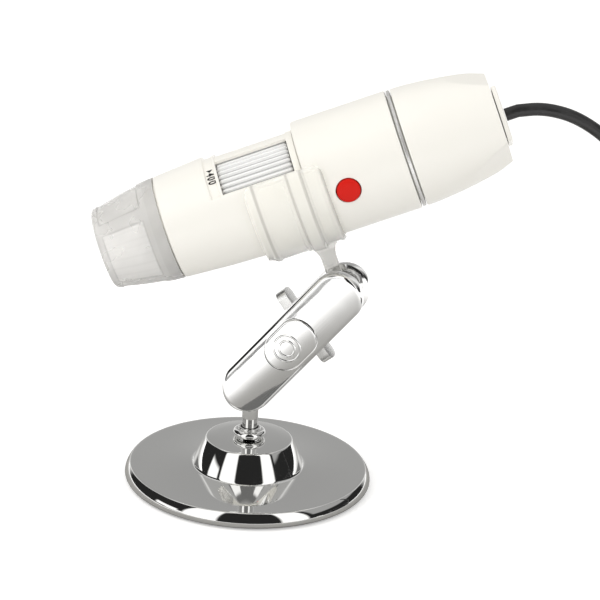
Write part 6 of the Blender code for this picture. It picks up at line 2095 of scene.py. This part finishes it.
@dataclass
class Studio:
    """The floor, the light and the camera.

    Attributes:
        azimuth: Camera's angle round the object, in degrees; 0 looks along +Y.
        elevation: Its angle over the table, in degrees.
        roll: Its turn about the line of sight, in degrees.
        distance: Its distance from the target, in metres.
        target: Its target, along the camera's right and up from the table, in metres.
        lens: Focal length in millimetres on a 36 mm sensor.
    """

    azimuth: float = 14.0
    elevation: float = 21.0
    roll: float = 3.0
    distance: float = 0.8
    target: Pair = (0.0121, 0.0541)
    lens: float = 176.3

    def build_camera(self) -> None:
        """Sets the camera at the photograph's viewing angle."""
        turn, rise, roll = (math.radians(value) for value in (self.azimuth, self.elevation, self.roll))
        back = Vector((math.sin(turn) * math.cos(rise), -math.cos(turn) * math.cos(rise), math.sin(rise)))
        right = Vector((math.cos(turn), math.sin(turn), 0))
        up = back.cross(right)
        right_rolled = right * math.cos(roll) + up * math.sin(roll)
        up_rolled = up * math.cos(roll) - right * math.sin(roll)
        place = right * self.target[0] + Vector((0, 0, self.target[1])) + back * self.distance
        data = bpy.data.cameras.new("view")
        data.lens = self.lens
        data.sensor_width = 36.0
        data.clip_start = 0.01
        camera = bpy.data.objects.new("view", data)
        bpy.context.scene.collection.objects.link(camera)
        axes = Matrix((right_rolled, up_rolled, back)).transposed().to_4x4()
        camera.matrix_world = Matrix.Translation(place) @ axes
        bpy.context.scene.camera = camera

    def build_floor(self) -> None:
        """Lays the pale floor, which stays white where no shadow falls; metal mirrors it with painted shade
        close round the object and painted light farther off.
        """
        corners = ((-3, -3), (3, -3), (3, 3), (-3, 3))
        solid = loft([[Vector((x, y, z)) for x, y in corners] for z in (-0.02, 0.0)])
        mesh = bpy.data.meshes.new("floor")
        solid.to_mesh(mesh)
        solid.free()
        floor = bpy.data.objects.new("floor", mesh)
        bpy.context.scene.collection.objects.link(floor)
        made = bpy.data.materials.new("floor_white")
        made.use_nodes = True
        shader = Shader(made.node_tree)
        surface = made.node_tree.nodes["Principled BSDF"]
        surface.inputs["Roughness"].default_value = 0.7
        surface.inputs["Specular IOR Level"].default_value = 0.1
        path = shader.add("LightPath")
        where = shader.add("TexCoord").outputs["Object"]
        away = shader.add("VectorMath", {"operation": "LENGTH"}, i0=where).outputs["Value"]
        mirrored = path.outputs["Is Glossy Ray"]
        # Painted shade on the floor, seen only in reflections, close round the object.
        close = shader.maths("MULTIPLY", mirrored, shader.ranged(away, 0.04, 0.15, 1.0, 0.0))
        greys = ((0.92, 0.92, 0.92, 1.0), (0.42, 0.415, 0.405, 1.0))
        shader.feed(surface.inputs["Base Color"], shader.mixed(close, *greys))
        seen = shader.maths("SUBTRACT", path.outputs["Is Glossy Ray"], close)
        seen = shader.maths("MAXIMUM", seen, path.outputs["Is Camera Ray"])
        seen = shader.maths("MAXIMUM", seen, path.outputs["Is Transmission Ray"])
        surface.inputs["Emission Color"].default_value = (1.0, 1.0, 1.0, 1.0)
        # Painted light on the floor, seen only in reflections, farther from the object.
        far = shader.maths("MULTIPLY", mirrored, shader.ranged(away, 0.15, 0.5, 0.0, 0.5))
        glow = shader.maths("ADD", shader.maths("MULTIPLY", seen, 0.34), far)
        shader.feed(surface.inputs["Emission Strength"], glow)
        mesh.materials.append(made)

    def panel(
        self,
        shader: Shader,
        turn: object,
        rise: object,
        across: Pair,
        up: Pair,
        soft: float = 2.0,
    ) -> Socket:
        """A soft-edged panel of light in the room.

        Args:
            shader: The world's nodes.
            turn: Angle round the camera's direction, in degrees.
            rise: Angle over the horizon, in degrees.
            across: Where the panel starts and ends round the room.
            up: Where it starts and ends over the horizon.
            soft: Width of its soft edge, in degrees.

        Returns:
            1 in the panel and 0 outside it.
        """
        result: object = 1.0
        for value, (low, high) in ((turn, across), (rise, up)):
            inside = shader.maths(
                "MULTIPLY",
                shader.ranged(value, low - soft, low + soft, 0.0, 1.0),
                shader.ranged(value, high - soft, high + soft, 1.0, 0.0),
            )
            result = shader.maths("MULTIPLY", result, inside)
        return result

    def build_world(self) -> None:
        """Lights the object evenly, with a darker room and panels for metal to mirror."""
        world = bpy.data.worlds.new("studio")
        bpy.context.scene.world = world
        world.use_nodes = True
        shader = Shader(world.node_tree)
        surface = world.node_tree.nodes["Background"]
        where = shader.add("SeparateXYZ", Vector=shader.add("TexCoord").outputs["Generated"])
        ahead = self.azimuth - 90.0
        spin = shader.maths("DEGREES", shader.maths("ARCTAN2", where.outputs[1], where.outputs[0]))
        turn = shader.maths("WRAP", shader.maths("SUBTRACT", spin, ahead), 180.0, -180.0)
        rise = shader.maths("DEGREES", shader.maths("ARCSINE", where.outputs[2]))
        off = shader.maths("ABSOLUTE", turn)
        path = shader.add("LightPath")
        room = shader.ranged(off, 132.0, 148.0, 0.022, 0.88)
        reach = shader.ranged(off, 148.0, 164.0, 0.0, 1.0)
        wall = shader.maths("MULTIPLY", reach, shader.ranged(rise, 10.0, 27.0, 0.3, 0.5))
        room = shader.maths("SUBTRACT", room, wall)
        for across, up, level in (
            ((-58.0, -25.0), (1.0, 74.0), 1.3),
            ((34.0, 60.0), (1.0, 74.0), 1.3),
            ((-88.0, -64.0), (4.0, 15.0), 1.3),
            ((-76.0, -50.0), (2.0, 8.0), 1.3),
            ((66.0, 136.0), (20.0, 70.0), 0.4),
        ):
            lit = self.panel(shader, turn, rise, across, up)
            room = shader.maths("MAXIMUM", room, shader.maths("MULTIPLY", lit, level))
        deep = shader.ranged(path.outputs["Ray Depth"], 2.2, 2.8, 0.0, 1.0)
        side = shader.ranged(off, 56.0, 76.0, 0.0, 1.0)
        lift = shader.maths("MULTIPLY", shader.maths("MULTIPLY", deep, side), 30.0)
        lifted = shader.maths("ADD", rise, lift)
        lifted = shader.maths("ADD", lifted, shader.maths("MULTIPLY", side, 28.0))
        ceiling = shader.ranged(lifted, 70.0, 86.0, 0.0, 0.75)
        ceiling = shader.maths("SUBTRACT", ceiling, shader.maths("MULTIPLY", deep, 0.25))
        ceiling = shader.maths("MAXIMUM", ceiling, shader.maths("MULTIPLY", deep, 0.2))
        room = shader.maths("MAXIMUM", room, ceiling)
        ground = shader.ranged(rise, -1.5, 0.0, 1.15, 0.0)
        room = shader.maths("MAXIMUM", room, ground)
        plain = shader.maths("MAXIMUM", path.outputs["Is Camera Ray"], path.outputs["Is Transmission Ray"])
        glossy = path.outputs["Is Glossy Ray"]
        diffuse = shader.maths("MULTIPLY", shader.maths("SUBTRACT", 1.0, glossy), 0.69)
        level = shader.maths("ADD", diffuse, shader.maths("MULTIPLY", glossy, room))
        level = shader.maths("MAXIMUM", level, plain)
        surface.inputs["Color"].default_value = (1.0, 0.995, 0.985, 1.0)
        shader.feed(surface.inputs["Strength"], level)

    def lamp(self, name: str, place: Vector, aim: Vector, size: float, power: float) -> None:
        """Hangs a square soft lamp that points at a place."""
        data = bpy.data.lights.new(name, "AREA")
        data.shape = "SQUARE"
        data.size = size
        data.energy = power
        data.color = (1.0, 0.985, 0.96)
        lamp = bpy.data.objects.new(name, data)
        lamp.visible_glossy = False
        bpy.context.scene.collection.objects.link(lamp)
        facing = (aim - place).to_track_quat("-Z", "Y").to_matrix().to_4x4()
        lamp.matrix_world = Matrix.Translation(place) @ facing

    def build(self) -> None:
        """Builds the studio."""
        bpy.context.scene.view_settings.view_transform = "Standard"
        self.build_camera()
        self.build_floor()
        self.build_world()
        middle = Vector((0.0, 0.0, 0.06))
        self.lamp("key", Vector((-0.45, -0.35, 0.75)), middle, 0.7, 2.8)
        self.lamp("fill", Vector((0.5, -0.45, 0.55)), middle, 0.7, 1.3)


INNER_FINISHES = {
    "base_weight": CAST_IRON,
    "base_nut": ZINC,
    "guide_tube": INNER_BLACK,
    "sensor_board": BOARD,
    "image_sensor": CHIP,
    "sensor_screw_1": ZINC,
    "sensor_screw_2": ZINC,
    "sensor_screw_3": ZINC,
    "main_board": BOARD,
    "tact_switch": CHIP,
}


def main() -> None:
    """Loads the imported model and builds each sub-assembly."""
    logging.basicConfig(level=logging.INFO, format="%(message)s")
    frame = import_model()
    frames = Frames({joint["name"]: joint for joint in frame["joints"]})
    Studio().build()
    arm_frame = frames.arm
    spacing = (frames.point("head_tilt") - frames.point("arm_tilt")).length / MM
    swivel = frames.axis("head_swivel")
    upright = Vector((0, 1, 0)).cross(swivel)
    plate_end = Microscope(frames.scope, frames.cap).plate[1]
    along = frames.axis("scope_roll")
    cable_exit = frames.point("scope_roll") + along * (plate_end + GAP) * MM
    Cable(cable_exit, along).build()
    Stand(frames.stand, frames.point("arm_tilt").z / MM).build()
    ClampArm(
        arm_frame,
        frames.wing,
        Frames.made(frames.point("arm_tilt"), Vector((1, 0, 0)), Vector((0, 0, 1))),
        Frames.made(frames.point("head_tilt"), upright, swivel),
        spacing,
    ).build()
    height = (frames.point("scope_roll") - frames.point("head_tilt")).length / MM
    HeadClip(frames.clip, height).build()
    Microscope(frames.scope, frames.cap).build()
    for node, finish in INNER_FINISHES.items():
        finish.dress(frame["nodes"][node])
    bpy.context.view_layer.update()


if __name__ == "__main__":
    main()
